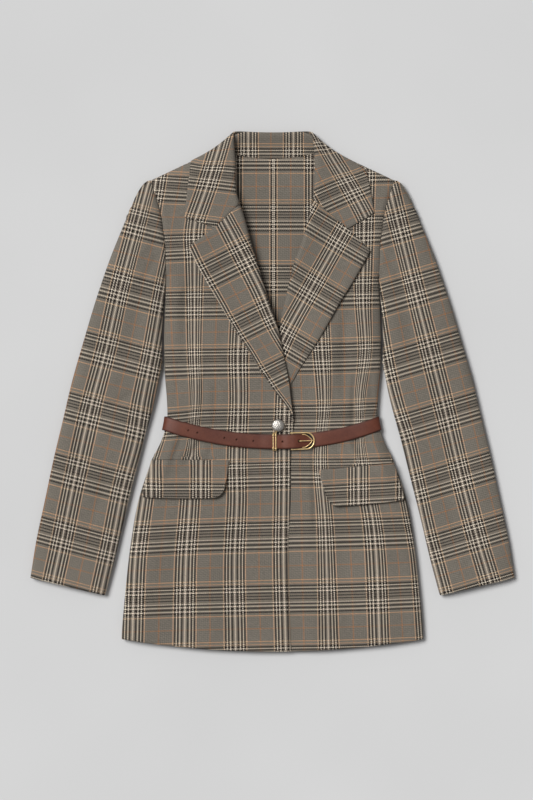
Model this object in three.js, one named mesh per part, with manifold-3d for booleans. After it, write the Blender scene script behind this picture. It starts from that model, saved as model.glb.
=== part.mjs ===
// A woman's single-button checked wool jacket with its narrow leather belt, laid flat on its back.
// Millimetres: +X is the viewer's right, +Y runs from hem to collar, +Z is up from the surface.
// The wearer's right front is at -X and lies over the left one.
import * as THREE from "three";
import { mergeVertices } from "three/addons/utils/BufferGeometryUtils.js";
import Module from "manifold-3d";

const wasm = await Module();
wasm.setup();

// Cloth and layers
const FRONT_WALL = 2;
const BACK_WALL = 1.6;
const SEAM = 0.3;
const LIFT = 17;
const CUFF_LIFT = 14;
const HEM_LIFT = 13;
const MIDDLE = 8;
const SIDE_ROLL = 24;
const CENTRE_BACK = 1.5;

// The fronts overlap, so the under front lies lower beside the edge of the upper one
const UNDERLAP = 2.6;
const LAPEL_UNDERLAP = 6;
const UNDERLAP_REACH = 60;

// Lapels and collar
const ROLL_INSET = 4.2;
const ROLL_WIDTH = 7;
const REST_GAP = 0.4;
const REST_REACH = 7;
const WRAP_DEPTH = 1.6;
const ROLL_PUFF = 3;
const PUFF_REACH = 26;
const LAPEL_BREAK = -28;
const COLLAR_WALL = 2.2;
const COLLAR_TOP = 391;
const COLLAR_MIDDLE = 9.5;
const COLLAR_FOLD = 15;
const COLLAR_PUFF = 2.4;
const LEAF_ROLL_HEIGHT = 6.2;
const STAND_WALL = 1.8;
const STAND_INSET = 3.8;
const STAND_START = 314;
const STAND_ROLL_RISE = 2.6;
const STAND_DROP = 1;
const NECK_RISE = 2.8;

// The belt, its buckle, keeper and the button
const BELT_WIDTH = 22;
const BELT_THICK = 1.9;
const BELT_GAP = 0.35;
const BELT_SIDE_GAP = 0.8;
const BELT_BED = 2.4;
const BELT_CENTRE = -76.8;
const BELT_SIDE_RISE = 28;
const WAIST = 161;
const PINCH = 3;
const PINCH_FLAT = 14;
const PINCH_REACH = 48;
const BELT_LOW_POINT = 8;
const BUCKLE = { left: 26.7, right: 63.9, half: 13.4, arm: 1.4, rim: 3.8, bar: 2.2, thick: 2.2, turn: 0.035 };
const PRONG_RADIUS = 0.7;
const KEEPER = { x: 3.1, half: 13.3, bar: 1.6, spread: 2.25, plate: 0.8, rise: 1.1 };
const BUTTON = { x: 8.3, y: -52.5, radius: 9.5, height: 7, shank: 3.6 };

// Half widths of the body's side from the hem to the underarm
const SIDE = [
  { y: -373, x: 224.5 },
  { y: -345, x: 227 },
  { y: -285, x: 220 },
  { y: -225, x: 213 },
  { y: -165, x: 202.5 },
  { y: -105, x: 184 },
  { y: -75, x: 169.5 },
  { y: -45, x: 161 },
  { y: -15, x: 160 },
  { y: 28, x: 163.5 },
  { y: 75, x: 163.5 },
  { y: 120, x: 162 },
  { y: 172, x: 159.8 },
];
const ARMHOLE = [
  { y: 172, x: 159.8 },
  { y: 193, x: 160.3 },
  { y: 215, x: 161 },
  { y: 242, x: 164.2 },
  { y: 265, x: 167.5 },
  { y: 284, x: 172.5 },
  { y: 305, x: 179.5 },
  { y: 316, x: 183 },
];
const SHOULDER_NECK = { x: 80, y: 364 };
const SHOULDER_TIP = { x: 183, y: 316 };
const UNDERARM = { x: 159.8, y: 172 };
const SLEEVE_OUTER = [
  { y: -281, x: 363.8 },
  { y: -224, x: 354.8 },
  { y: -164, x: 342 },
  { y: -104, x: 329.3 },
  { y: -44, x: 315 },
  { y: 16, x: 300.8 },
  { y: 76, x: 283.5 },
  { y: 136, x: 265.5 },
  { y: 196, x: 245.3 },
  { y: 256, x: 220.5 },
  { y: 286, x: 207 },
  { y: 298, x: 201.8 },
  { y: 310, x: 194.3 },
  { y: 316, x: 183 },
];
const SLEEVE_INNER = [
  { y: -307.5, x: 251.3 },
  { y: -254, x: 237 },
  { y: -194, x: 222.8 },
  { y: -134, x: 207.8 },
  { y: -74, x: 192.8 },
  { y: -14, x: 176.5 },
  { y: 20, x: 169.8 },
  { y: 60, x: 166.8 },
  { y: 110, x: 165 },
  { y: 150, x: 162.6 },
  { y: 172, x: 160.6 },
];

// Rows across the body: y at the centre line and y at the side
const LEVELS = [
  { centre: -391.5, side: -373 },
  { centre: -372, side: -354 },
  { centre: -330, side: -312 },
  { centre: -282, side: -264 },
  { centre: -234, side: -214 },
  { centre: -190, side: -168 },
  { centre: -152, side: -128 },
  { centre: -124, side: -98 },
  { centre: -104, side: -77 },
  { centre: -90, side: -62 },
  { centre: -76.8, side: -48.8 },
  { centre: -63, side: -35 },
  { centre: -48, side: -20 },
  { centre: -32, side: -2 },
  { centre: -10, side: 20 },
  { centre: 22, side: 46 },
  { centre: 56, side: 76 },
  { centre: 92, side: 108 },
  { centre: 126, side: 138 },
  { centre: 150, side: 160 },
];
const CENTRE_AT_UNDERARM = 165;

// The upper front's edge: centre front, then the roll line, then the neck seam
const RIGHT_EDGE = [
  { y: -391.5, x: 27.3 },
  { y: -310, x: 24 },
  { y: -225, x: 23.3 },
  { y: -170, x: 26.3 },
  { y: -90, x: 28.4 },
  { y: -32, x: 27 },
  { y: -14, x: 26.6 },
  { y: 16, x: 24 },
  { y: 61, x: 15.8 },
  { y: 91, x: 9 },
  { y: 121, x: -0.8 },
  { y: 151, x: -10.5 },
  { y: 181, x: -19.5 },
  { y: 208, x: -27.8 },
  { y: 229, x: -33.8 },
  { y: 253, x: -39.8 },
  { y: 281, x: -48.8 },
];
const LEFT_EDGE = [
  { y: -391.5, x: -20 },
  { y: -90, x: -20 },
  { y: -32, x: -20 },
  { y: 20, x: -8 },
  { y: 60, x: 3 },
  { y: 86, x: 9.8 },
  { y: 121, x: 15.3 },
  { y: 158, x: 24 },
  { y: 193, x: 32.8 },
  { y: 209, x: 38.3 },
  { y: 238, x: 47.8 },
  { y: 263, x: 55.5 },
  { y: 287, x: 60.8 },
];
const RIGHT_LAPEL = [
  { y: -20, x: 16.5 },
  { y: 14, x: -6.8 },
  { y: 32, x: -18.8 },
  { y: 58, x: -34 },
  { y: 80, x: -48.8 },
  { y: 104, x: -63.8 },
  { y: 130, x: -78.8 },
  { y: 155, x: -93.8 },
  { y: 187, x: -111.8 },
  { y: 215.3, x: -125.3 },
];
const LEFT_LAPEL = [
  { y: -20, x: 1 },
  { y: 13, x: 25 },
  { y: 31, x: 36.5 },
  { y: 64, x: 59.3 },
  { y: 83, x: 71.5 },
  { y: 103, x: 83.3 },
  { y: 133, x: 101.5 },
  { y: 166, x: 122 },
  { y: 196, x: 139 },
  { y: 209.3, x: 146.3 },
];
// The roll of the collar above the gorge
const RIGHT_NECK = [
  { y: 281, x: -48.8 },
  { y: 301, x: -54 },
  { y: 343, x: -54.8 },
  { y: 374, x: -57.2 },
  { y: 391, x: -58.2 },
];
const LEFT_NECK = [
  { y: 287, x: 60.8 },
  { y: 316, x: 62.6 },
  { y: 346, x: 62.9 },
  { y: 368, x: 61.2 },
  { y: 391, x: 59 },
];
// The collar's outer edge from its point to the fold over the shoulder
const RIGHT_LEAF = [
  { y: 260.3, x: -131.3 },
  { y: 278, x: -129.8 },
  { y: 304, x: -126.8 },
  { y: 328, x: -124.2 },
  { y: 348.5, x: -122.6 },
];
const LEFT_LEAF = [
  { y: 266.3, x: 152.3 },
  { y: 286, x: 149.3 },
  { y: 301, x: 146.8 },
  { y: 316, x: 144.2 },
  { y: 339.6, x: 139.6 },
];
const NOTCH = { right: { x: -86.4, y: 245 }, left: { x: 113, y: 243.2 } };
const LEAF_BACK_BOW = 21;

// Flap corners: top at the front end, top at the side end, then the same two below
const FLAPS = [
  {
    name: "right",
    corners: [[-65.5, -104.7], [-181, -104.7], [-74.5, -160.5], [-193, -160]],
  },
  {
    name: "left",
    corners: [[70, -119.6], [185, -109.4], [84.5, -174], [196.5, -164]],
  },
];
const FLAP_WALL = 2.2;
const FLAP_CORNER = 9;
const WELT_HEIGHT = 5;

// Largest folds of the fronts and sleeves: where each runs from and to, half width, height (+) or depth (-)
const FOLDS = [
  { x0: -109, y0: -79, x1: -124, y1: -106, width: 7, rise: -1.6 },
  { x0: 124, y0: -70, x1: 144, y1: -112, width: 8, rise: -1.6 },
  { x0: -160, y0: -66, x1: -182, y1: -140, width: 9, rise: 1.6 },
  { x0: 158, y0: -66, x1: 180, y1: -140, width: 9, rise: 1.4 },
  { x0: -134, y0: 150, x1: -134, y1: 80, width: 13, rise: -1.8 },
  { x0: 109, y0: 128, x1: 109, y1: 60, width: 13, rise: -1.6 },
  { x0: 62, y0: -110, x1: 79, y1: -225, width: 12, rise: -1.6 },
  { x0: -110, y0: 70, x1: -112, y1: -40, width: 10, rise: 1.4 },
  { x0: 190, y0: 170, x1: 214, y1: 60, width: 14, rise: -2 },
  { x0: 250, y0: 40, x1: 285, y1: -120, width: 16, rise: -1.6 },
  { x0: -190, y0: 170, x1: -216, y1: 50, width: 14, rise: -2 },
  { x0: -262, y0: 30, x1: -296, y1: -140, width: 16, rise: -1.6 },
];

const clamp = (v, low, high) => Math.min(high, Math.max(low, v));
const lerp = (a, b, t) => a + (b - a) * t;
const ease = (v) => {
  const t = clamp(v, 0, 1);
  return t * t * (3 - 2 * t);
};
const roundOver = (d, width) => Math.sqrt(1 - (1 - clamp(d / width, 0, 1)) ** 2);

// A smooth curve x(y) through the rows of a table whose y only rises
function through(rows) {
  const slopes = rows.map((row, i) => {
    const before = rows[Math.max(0, i - 1)];
    const after = rows[Math.min(rows.length - 1, i + 1)];
    return (after.x - before.x) / (after.y - before.y);
  });
  return (y) => {
    const value = clamp(y, rows[0].y, rows[rows.length - 1].y);
    let i = 0;
    while (i < rows.length - 2 && value > rows[i + 1].y) i++;
    const step = rows[i + 1].y - rows[i].y;
    const t = (value - rows[i].y) / step;
    const a = (1 + 2 * t) * (1 - t) ** 2 * rows[i].x + t * (1 - t) ** 2 * step * slopes[i];
    const b = t * t * (3 - 2 * t) * rows[i + 1].x + t * t * (t - 1) * step * slopes[i + 1];
    return a + b;
  };
}

const sideX = through(SIDE);
const armholeX = through(ARMHOLE);
const outerX = through(SLEEVE_OUTER);
const innerX = through(SLEEVE_INNER);
const rightEdgeX = through(RIGHT_EDGE);
const leftEdgeX = through(LEFT_EDGE);

// Distance to a line of points and the direction out to it
function edgeOf(points, turn) {
  const spans = points.slice(1).map((b, i) => {
    const a = points[i];
    const length = Math.hypot(b.x - a.x, b.y - a.y);
    return { a, ux: (b.x - a.x) / length, uy: (b.y - a.y) / length, length };
  });
  return (x, y) => {
    let best = { d: Infinity };
    for (const { a, ux, uy, length } of spans) {
      const along = (x - a.x) * ux + (y - a.y) * uy;
      const near = clamp(along, 0, length);
      const dx = a.x + ux * near - x;
      const dy = a.y + uy * near - y;
      const d = Math.hypot(dx, dy);
      if (d < best.d - 1e-9) {
        const onSpan = along >= 0 && along <= length;
        const out = onSpan || d < 0.01 ? [uy * turn, -ux * turn] : [dx / d, dy / d];
        best = { d, out };
      }
    }
    return best;
  };
}

const sampled = (curve, from, to, count) =>
  Array.from({ length: count + 1 }, (_, i) => {
    const y = lerp(from, to, i / count);
    return { x: curve(y), y };
  });

const upperChain = edgeOf([SHOULDER_NECK, ...sampled(outerX, 316, -281, 48)], -1);
const sideChain = edgeOf(sampled(sideX, -373, 172, 40), 1);
const innerChain = edgeOf(sampled(innerX, -307.5, 172, 36), -1);

// Nearest rounded edge of the body or of a sleeve, worked out on the +X half
function nearestEdge(x, y, ofSleeve) {
  const half = Math.abs(x);
  const near = upperChain(half, y);
  const other = (ofSleeve ? innerChain : sideChain)(half, y);
  const best = near.d < other.d ? near : other;
  return { d: best.d, out: [best.out[0] * Math.sign(x || 1), best.out[1]] };
}

const beltY = (x) => {
  const from = Math.abs(x - BELT_LOW_POINT * Math.max(0, 1 - Math.abs(x) / WAIST));
  return BELT_CENTRE + BELT_SIDE_RISE * (from / WAIST) ** 2.2;
};
const backBeltY = (x) => BELT_CENTRE + BELT_SIDE_RISE * (0.8 + 0.2 * (x / WAIST) ** 2);
const plateau = (distance, flat, reach) => 1 - ease((Math.abs(distance) - flat) / (reach - flat));

function foldRise(x, y) {
  let rise = 0;
  for (const fold of FOLDS) {
    const dx = fold.x1 - fold.x0;
    const dy = fold.y1 - fold.y0;
    const along = ((x - fold.x0) * dx + (y - fold.y0) * dy) / (dx * dx + dy * dy);
    const across = Math.abs((x - fold.x0) * dy - (y - fold.y0) * dx) / Math.hypot(dx, dy);
    const ends = ease((along + 0.25) / 0.5) * ease((1.25 - along) / 0.5);
    rise += fold.rise * ends * Math.exp(-((across / fold.width) ** 2));
  }
  return rise;
}

// Height of the flat part of the body's face and of a sleeve's face above the surface
function bodyLift(x, y) {
  const hem = (LIFT - HEM_LIFT) * (1 - ease((y + 392) / 70));
  const pinch = PINCH * plateau(y - beltY(x), PINCH_FLAT, PINCH_REACH);
  return LIFT - hem - pinch + foldRise(x, y);
}
const sleeveLift = (x, y) => lerp(LIFT, CUFF_LIFT, ease((172 - y) / 420)) + foldRise(x, y);

// How far the left front lies below the right one
function underlap(x, y) {
  const depth = lerp(UNDERLAP, LAPEL_UNDERLAP, ease((y + 62) / 24)) * (1 - ease((y - 92) / 40));
  return depth * (1 - ease((x - rightEdgeX(y)) / UNDERLAP_REACH));
}

// What the back lies on: the belt's back stretch and the folded collar
const FOLD_TOP = { right: { x: -58.2, y: COLLAR_TOP }, left: { x: 59, y: COLLAR_TOP } };
const FOLD_END = { right: { x: -122.6, y: 348.5 }, left: { x: 139.6, y: 339.6 } };
function backFloor(x, y) {
  const onBelt = BELT_BED * plateau(y - backBeltY(x), 13, 42);
  const u = (x - FOLD_END.right.x) / (FOLD_END.left.x - FOLD_END.right.x);
  const edge = lerp(FOLD_END.right.y, FOLD_END.left.y, u) - LEAF_BACK_BOW * 4 * u * (1 - u);
  return onBelt + NECK_RISE * ease((y - edge + 50) / 30);
}

// A point of the face (up) or underside (down) of the flattened jacket, with its way out
function skin(x, y, { up, ofSleeve = false, lift }) {
  const { d, out } = nearestEdge(x, y, ofSleeve);
  const rounding = roundOver(d, SIDE_ROLL);
  const height = up ? lift - MIDDLE : MIDDLE - lift;
  const way = up ? 1 : -1;
  const z = MIDDLE + way * ((SEAM / 2) * (1 - rounding) + height * rounding);
  const flat = 1 - clamp(d / SIDE_ROLL, 0, 1);
  const normal = new THREE.Vector3(
    (out[0] * flat) / SIDE_ROLL,
    (out[1] * flat) / SIDE_ROLL,
    (way * rounding) / Math.max(height, 1),
  ).normalize();
  return { point: new THREE.Vector3(x, y, z), normal };
}

const rightFace = (x, y) => skin(x, y, { up: true, lift: bodyLift(x, y) });
const leftFace = (x, y) => skin(x, y, { up: true, lift: bodyLift(x, y) - underlap(x, y) });
const backFace = (x, y) => skin(x, y, { up: false, lift: backFloor(x, y) });

// Distances along a chord: close steps where it rounds, even steps between
function spread(length, { plain, bends = 0, startBends = 0, width = SIDE_ROLL }) {
  const start = startBends ? Math.min(width, length * 0.45) : 0;
  const end = bends ? Math.min(width, length * 0.45) : 0;
  const steps = [];
  for (let i = 0; i < startBends; i++) steps.push(start * (1 - Math.cos((i / startBends) * Math.PI * 0.5)));
  for (let i = 0; i <= plain; i++) steps.push(lerp(start, length - end, i / plain));
  for (let i = 1; i <= bends; i++) steps.push(length - end + end * Math.sin((i / bends) * Math.PI * 0.5));
  return steps;
}

// A closed wall between an outer and an inner grid of points
function wallMesh(name, material, outer, inner) {
  const rows = outer.length;
  const cols = outer[0].length;
  const index = (i, j, layer) => layer * rows * cols + i * cols + j;
  const faces = [];
  const quad = (a, b, c, d) => faces.push(a, b, c, a, c, d);
  for (let i = 0; i + 1 < rows; i++) {
    for (let j = 0; j + 1 < cols; j++) {
      quad(index(i, j, 0), index(i, j + 1, 0), index(i + 1, j + 1, 0), index(i + 1, j, 0));
      quad(index(i, j, 1), index(i + 1, j, 1), index(i + 1, j + 1, 1), index(i, j + 1, 1));
    }
  }
  const rim = [];
  for (let j = 0; j < cols - 1; j++) rim.push([0, j]);
  for (let i = 0; i < rows - 1; i++) rim.push([i, cols - 1]);
  for (let j = cols - 1; j > 0; j--) rim.push([rows - 1, j]);
  for (let i = rows - 1; i > 0; i--) rim.push([i, 0]);
  rim.forEach(([i, j], k) => {
    const [i2, j2] = rim[(k + 1) % rim.length];
    quad(index(i2, j2, 0), index(i, j, 0), index(i, j, 1), index(i2, j2, 1));
  });
  const points = [...outer.flat(), ...inner.flat()];
  const volume = (a, b, c) => points[a].dot(new THREE.Vector3().crossVectors(points[b], points[c]));
  let total = 0;
  for (let k = 0; k < faces.length; k += 3) total += volume(faces[k], faces[k + 1], faces[k + 2]);
  if (total < 0) faces.reverse();
  const geometry = new THREE.BufferGeometry().setFromPoints(points);
  geometry.setIndex(faces);
  geometry.computeVertexNormals();
  const mesh = new THREE.Mesh(geometry, material);
  mesh.name = name;
  return mesh;
}

// The inner grid of a wall, from the face's own normals or from its neighbouring points
const inward = (cells, wall) => cells.map((row) => row.map(({ point, normal }) =>
  point.clone().addScaledVector(normal, -wall)));
function offsetGrid(grid, distance) {
  const rows = grid.length;
  const cols = grid[0].length;
  return grid.map((row, i) => row.map((point, j) => {
    const du = grid[Math.min(i + 1, rows - 1)][j].clone().sub(grid[Math.max(i - 1, 0)][j]);
    const dv = row[Math.min(j + 1, cols - 1)].clone().sub(row[Math.max(j - 1, 0)]);
    return point.clone().addScaledVector(du.cross(dv).normalize(), distance);
  }));
}
const pointsOf = (cells) => cells.map((row) => row.map(({ point }) => point));

// Highest point of some panels' faces within a short reach of (x, y), so that a piece clears their facets
function restingOn(grids, otherwise) {
  const triangles = grids.flatMap((grid) => grid.slice(1).flatMap((row, i) => row.slice(1).flatMap((d, j) => {
    const [a, b, c] = [grid[i][j], grid[i][j + 1], row[j]];
    return [[a, b, d], [a, d, c]];
  })));
  const heightAt = (x, y) => {
    let best = -Infinity;
    for (const [a, b, c] of triangles) {
      const area = (b.x - a.x) * (c.y - a.y) - (c.x - a.x) * (b.y - a.y);
      const v = ((x - a.x) * (c.y - a.y) - (c.x - a.x) * (y - a.y)) / area;
      const w = ((b.x - a.x) * (y - a.y) - (x - a.x) * (b.y - a.y)) / area;
      if (v < 0 || w < 0 || v + w > 1) continue;
      best = Math.max(best, a.z + v * (b.z - a.z) + w * (c.z - a.z));
    }
    return best;
  };
  return (x, y, reach = REST_REACH) => {
    let best = heightAt(x, y);
    for (let k = 0; k < 8; k++) {
      const angle = (k * Math.PI) / 4;
      best = Math.max(best, heightAt(x + reach * Math.cos(angle), y + reach * Math.sin(angle)));
    }
    return Number.isFinite(best) ? best : otherwise(x, y).point.z;
  };
}

const cloth = (color) => new THREE.MeshStandardMaterial({ color, roughness: 0.9, metalness: 0, side: THREE.DoubleSide });
const wool = cloth(0x7d746a);
const leather = new THREE.MeshStandardMaterial({ color: 0x693a2d, roughness: 0.5, metalness: 0 });
const gold = new THREE.MeshStandardMaterial({ color: 0xbea573, roughness: 0.3, metalness: 1 });
const silver = new THREE.MeshStandardMaterial({ color: 0xc9c5c0, roughness: 0.35, metalness: 1 });

// Where the armhole's rows fall, from the underarm to the shoulder tip
const armholeLine = new THREE.SplineCurve(ARMHOLE.map(({ x, y }) => new THREE.Vector2(x, y)));
const ARMHOLE_LENGTH = armholeLine.getLength();
const SLEEVE_STEPS = { plain: 5, bends: 4, startBends: 4 };
const armholePoints = spread(ARMHOLE_LENGTH, SLEEVE_STEPS).map((s) => {
  const y = armholeLine.getPointAt(clamp(s / ARMHOLE_LENGTH, 0, 1)).y;
  return { x: armholeX(y), y, share: s / ARMHOLE_LENGTH };
});

// Rows of a body panel, each with its centre end, its side end and its place from hem to shoulder
function bodyRows(side, centreX, neckY) {
  const below = LEVELS.map((level) => ({ centreY: level.centre, x: sideX(level.side), y: level.side }));
  const beside = armholePoints.map(({ x, y, share }) => ({
    centreY: lerp(CENTRE_AT_UNDERARM, neckY, share),
    x: x - (share > 0 && share < 1 ? SEAM : 0),
    y,
  }));
  return [...below, ...beside].map(({ centreY, x, y }) => ({
    centre: { x: centreX(centreY), y: centreY },
    side: { x: side * x, y },
  }));
}

const hemY = (x) => -391.8 + 18.8 * (x / 226) ** 2;
const HEM_SHARE = [1, 0.8, 0.4, 0.1];

// A front or back panel: straight rows between the centre and the side, bent to the hem and the neck
function bodyPanel(rows, face, topY, steps) {
  return rows.map(({ centre, side }, i) => {
    const length = Math.hypot(side.x - centre.x, side.y - centre.y);
    const fromTop = rows.length - 1 - i;
    const topShare = topY ? Math.max(0, 1 - fromTop / armholePoints.length) ** 2 : 0;
    return spread(length, steps).map((s) => {
      const t = s / length;
      const x = lerp(centre.x, side.x, t);
      const chord = lerp(centre.y, side.y, t);
      const ends = Math.min(1, t * 1e3, (1 - t) * 1e3);
      const hem = (HEM_SHARE[i] || 0) * (hemY(x) - lerp(hemY(centre.x), hemY(side.x), t)) * ends;
      const top = topY ? topShare * (topY(x) - lerp(topY(centre.x), topY(side.x), t)) : 0;
      return face(x, chord + hem + top);
    });
  });
}

// The two sides of the opening: which edge, where the gorge meets the roll, where the lapel's point is
const SIDES = {
  right: { side: -1, edgeX: rightEdgeX, face: rightFace, gorgeY: 281, pointY: 215.3, puffFrom: 20 },
  left: { side: 1, edgeX: leftEdgeX, face: leftFace, gorgeY: 287, pointY: 209.3, puffFrom: 92 },
};
Object.assign(SIDES.right, { lapelRows: RIGHT_LAPEL, notch: NOTCH.right });
Object.assign(SIDES.left, { lapelRows: LEFT_LAPEL, notch: NOTCH.left });

// A front's inner edge: centre front, roll line and then the neck seam up to the shoulder
function frontEdgeX({ edgeX, gorgeY, side }, y) {
  if (y <= gorgeY) return edgeX(y);
  return lerp(edgeX(gorgeY), side * SHOULDER_NECK.x, ((y - gorgeY) / (SHOULDER_NECK.y - gorgeY)) ** 0.9);
}
// The roll wraps the front's edge, which stays inside it
function rollInset({ gorgeY }, y) {
  return ROLL_INSET * ease((y - LAPEL_BREAK) / 40) * (1 - ease((y - gorgeY - 4) / 34));
}
function frontCells(sideOf) {
  const centreX = (y) => frontEdgeX(sideOf, y) + sideOf.side * rollInset(sideOf, y);
  const rows = bodyRows(sideOf.side, centreX, SHOULDER_NECK.y);
  return bodyPanel(rows, sideOf.face, null, { plain: 8, bends: 4 });
}
const frontRight = frontCells(SIDES.right);
const frontLeft = frontCells(SIDES.left);
SIDES.right.rest = restingOn([pointsOf(frontRight)], rightFace);
SIDES.left.rest = restingOn([pointsOf(frontLeft)], leftFace);

function fronts() {
  return [
    wallMesh("front_right", wool, pointsOf(frontRight), inward(frontRight, FRONT_WALL)),
    wallMesh("front_left", wool, pointsOf(frontLeft), inward(frontLeft, FRONT_WALL)),
  ];
}

// The top of the back: neck seam to the shoulder's neck point, then the shoulder seam
const BACK_NECK = [
  { y: 348.3, x: 0 },
  { y: 349.9, x: 27.6 },
  { y: 354.1, x: 54 },
  { y: 364, x: 80 },
];
function backTop(x) {
  const half = Math.abs(x);
  if (half >= SHOULDER_NECK.x) {
    const t = (half - SHOULDER_NECK.x) / (SHOULDER_TIP.x - SHOULDER_NECK.x);
    return lerp(SHOULDER_NECK.y, SHOULDER_TIP.y, t);
  }
  const i = BACK_NECK.findIndex((row) => row.x > half);
  const [a, b] = [BACK_NECK[i - 1], BACK_NECK[i]];
  return lerp(a.y, b.y, (half - a.x) / (b.x - a.x));
}

function backs() {
  const steps = { plain: 6, bends: 4 };
  return [["back_right", -1], ["back_left", 1]].map(([name, side]) => {
    const centreX = () => CENTRE_BACK + (side * SEAM) / 2;
    const cells = bodyPanel(bodyRows(side, centreX, BACK_NECK[0].y), backFace, backTop, steps);
    return wallMesh(name, wool, pointsOf(cells), inward(cells, BACK_WALL));
  });
}

const SLEEVE_ROWS = [0, 0.05, 0.11, 0.18, 0.26, 0.35, 0.45, 0.55, 0.66, 0.77, 0.88, 0.96, 1];
const HEAD_EASE = 0.3;

// A sleeve's upper or under piece, in rows from the armhole to the cuff
function sleevePiece(name, side, up) {
  const cells = SLEEVE_ROWS.map((k) => {
    const outerY = lerp(SHOULDER_TIP.y, -281, k);
    const innerY = lerp(UNDERARM.y, -307.5, k);
    const a = { x: innerX(innerY), y: innerY };
    const b = { x: outerX(outerY) + (k === 0 ? SEAM : 0), y: outerY };
    const length = Math.hypot(b.x - a.x, b.y - a.y);
    const head = Math.max(0, 1 - k / HEAD_EASE) ** 2;
    return spread(length, SLEEVE_STEPS).map((s, j) => {
      const t = s / length;
      const seam = armholePoints[j];
      const chord = { x: lerp(a.x, b.x, t), y: lerp(a.y, b.y, t) };
      const straight = { x: lerp(UNDERARM.x, SHOULDER_TIP.x, t), y: lerp(UNDERARM.y, SHOULDER_TIP.y, t) };
      const x = chord.x + head * (seam.x + SEAM - straight.x) * (k === 0 && (t === 0 || t === 1) ? 0 : 1);
      const y = chord.y + head * (seam.y - straight.y);
      const lift = up ? sleeveLift(side * x, y) : 0;
      return skin(side * x, y, { up, ofSleeve: true, lift });
    });
  });
  return wallMesh(name, wool, pointsOf(cells), inward(cells, up ? FRONT_WALL : BACK_WALL));
}

// Height of a lapel or collar above the front: rounded at the roll, puffed behind it, then lying down
function turnedOver(base, d, width, { wall, puff, wrap }) {
  const start = base + lerp(REST_GAP + wall, -WRAP_DEPTH, wrap);
  const crest = base + REST_GAP + wall + puff * Math.exp(-((d / PUFF_REACH) ** 2));
  return lerp(start, crest, roundOver(d, width));
}

const LAPEL_ROWS = 14;
function lapel(name, { side, edgeX, gorgeY, pointY, puffFrom, notch, lapelRows, rest }) {
  const outX = through(lapelRows);
  // The top edge bends at the notch
  const ends = [{ x: edgeX(gorgeY), y: gorgeY - SEAM }, { x: outX(pointY), y: pointY }];
  const notchAt = (notch.x - ends[0].x) / (ends[1].x - ends[0].x);
  const notchBend = notch.y - 2 * SEAM - lerp(ends[0].y, ends[1].y, notchAt);
  const grid = [];
  for (let i = 0; i <= LAPEL_ROWS; i++) {
    const f = i / LAPEL_ROWS;
    const rollY = lerp(LAPEL_BREAK, gorgeY - SEAM, f);
    const outY = lerp(lapelRows[0].y, pointY, f);
    const a = { x: edgeX(rollY), y: rollY };
    const b = { x: outX(outY), y: outY };
    const length = Math.hypot(b.x - a.x, b.y - a.y);
    const width = Math.min(ROLL_WIDTH, length * 0.45);
    const wrap = ease((rollY - 12) / 40);
    grid.push(spread(length, { plain: 5, startBends: 3, width: ROLL_WIDTH }).map((s) => {
      const t = s / length;
      const x = lerp(a.x, b.x, t);
      const y = lerp(a.y, b.y, t) + notchBend * f ** 4 * Math.min(t / notchAt, (1 - t) / (1 - notchAt));
      const puff = ROLL_PUFF * ease((y - puffFrom) / 90);
      const z = turnedOver(rest(x, y), s, width, { wall: FRONT_WALL, puff, wrap });
      return new THREE.Vector3(x, y, z);
    }));
  }
  return wallMesh(name, wool, grid, offsetGrid(grid, side * FRONT_WALL));
}

// The collar: both bands run from the right gorge round the back of the neck to the left gorge
const neckRollX = { right: through(RIGHT_NECK), left: through(LEFT_NECK) };
const leafX = { right: through(RIGHT_LEAF), left: through(LEFT_LEAF) };
const leafPointY = { right: RIGHT_LEAF[0].y, left: LEFT_LEAF[0].y };

const mix = (a, b, t) => ({ x: lerp(a.x, b.x, t), y: lerp(a.y, b.y, t) });
function distanceToSpan(p, a, b) {
  const dx = b.x - a.x;
  const dy = b.y - a.y;
  const t = clamp(((p.x - a.x) * dx + (p.y - a.y) * dy) / (dx * dx + dy * dy), 0, 1);
  return Math.hypot(a.x + dx * t - p.x, a.y + dy * t - p.y);
}

// The gorge seam and the collar's lower edge, from the roll to the collar's point
function gorgePoint(key, t) {
  const start = { x: SIDES[key].edgeX(SIDES[key].gorgeY), y: SIDES[key].gorgeY + SEAM };
  const notch = NOTCH[key];
  const point = { x: leafX[key](leafPointY[key]), y: leafPointY[key] };
  const first = Math.hypot(notch.x - start.x, notch.y - start.y);
  const second = Math.hypot(point.x - notch.x, point.y - notch.y);
  const along = t * (first + second);
  return along < first ? mix(start, notch, along / first) : mix(notch, point, (along - first) / second);
}

const LEAF_ACROSS = [0, 0.035, 0.09, 0.2, 0.42, 0.7, 1];
const FRONT_STEPS = { plain: 5, bends: 4 };
const BACK_STEPS = { plain: 6, bends: 4, startBends: 4 };

function leafPoint(key, s, t) {
  const { gorgeY } = SIDES[key];
  const rollY = lerp(gorgeY + SEAM, COLLAR_TOP, s);
  const edgeY = lerp(leafPointY[key], FOLD_END[key].y, s);
  const roll = { x: neckRollX[key](rollY), y: rollY };
  const edge = { x: leafX[key](edgeY), y: edgeY };
  const flat = mix(roll, edge, t);
  const cut = gorgePoint(key, t);
  const start = mix({ x: neckRollX[key](gorgeY), y: gorgeY + SEAM }, { x: leafX[key](leafPointY[key]), y: leafPointY[key] }, t);
  const share = (1 - s) ** 1.5;
  return { x: flat.x + share * (cut.x - start.x), y: flat.y + share * (cut.y - start.y) };
}

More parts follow.
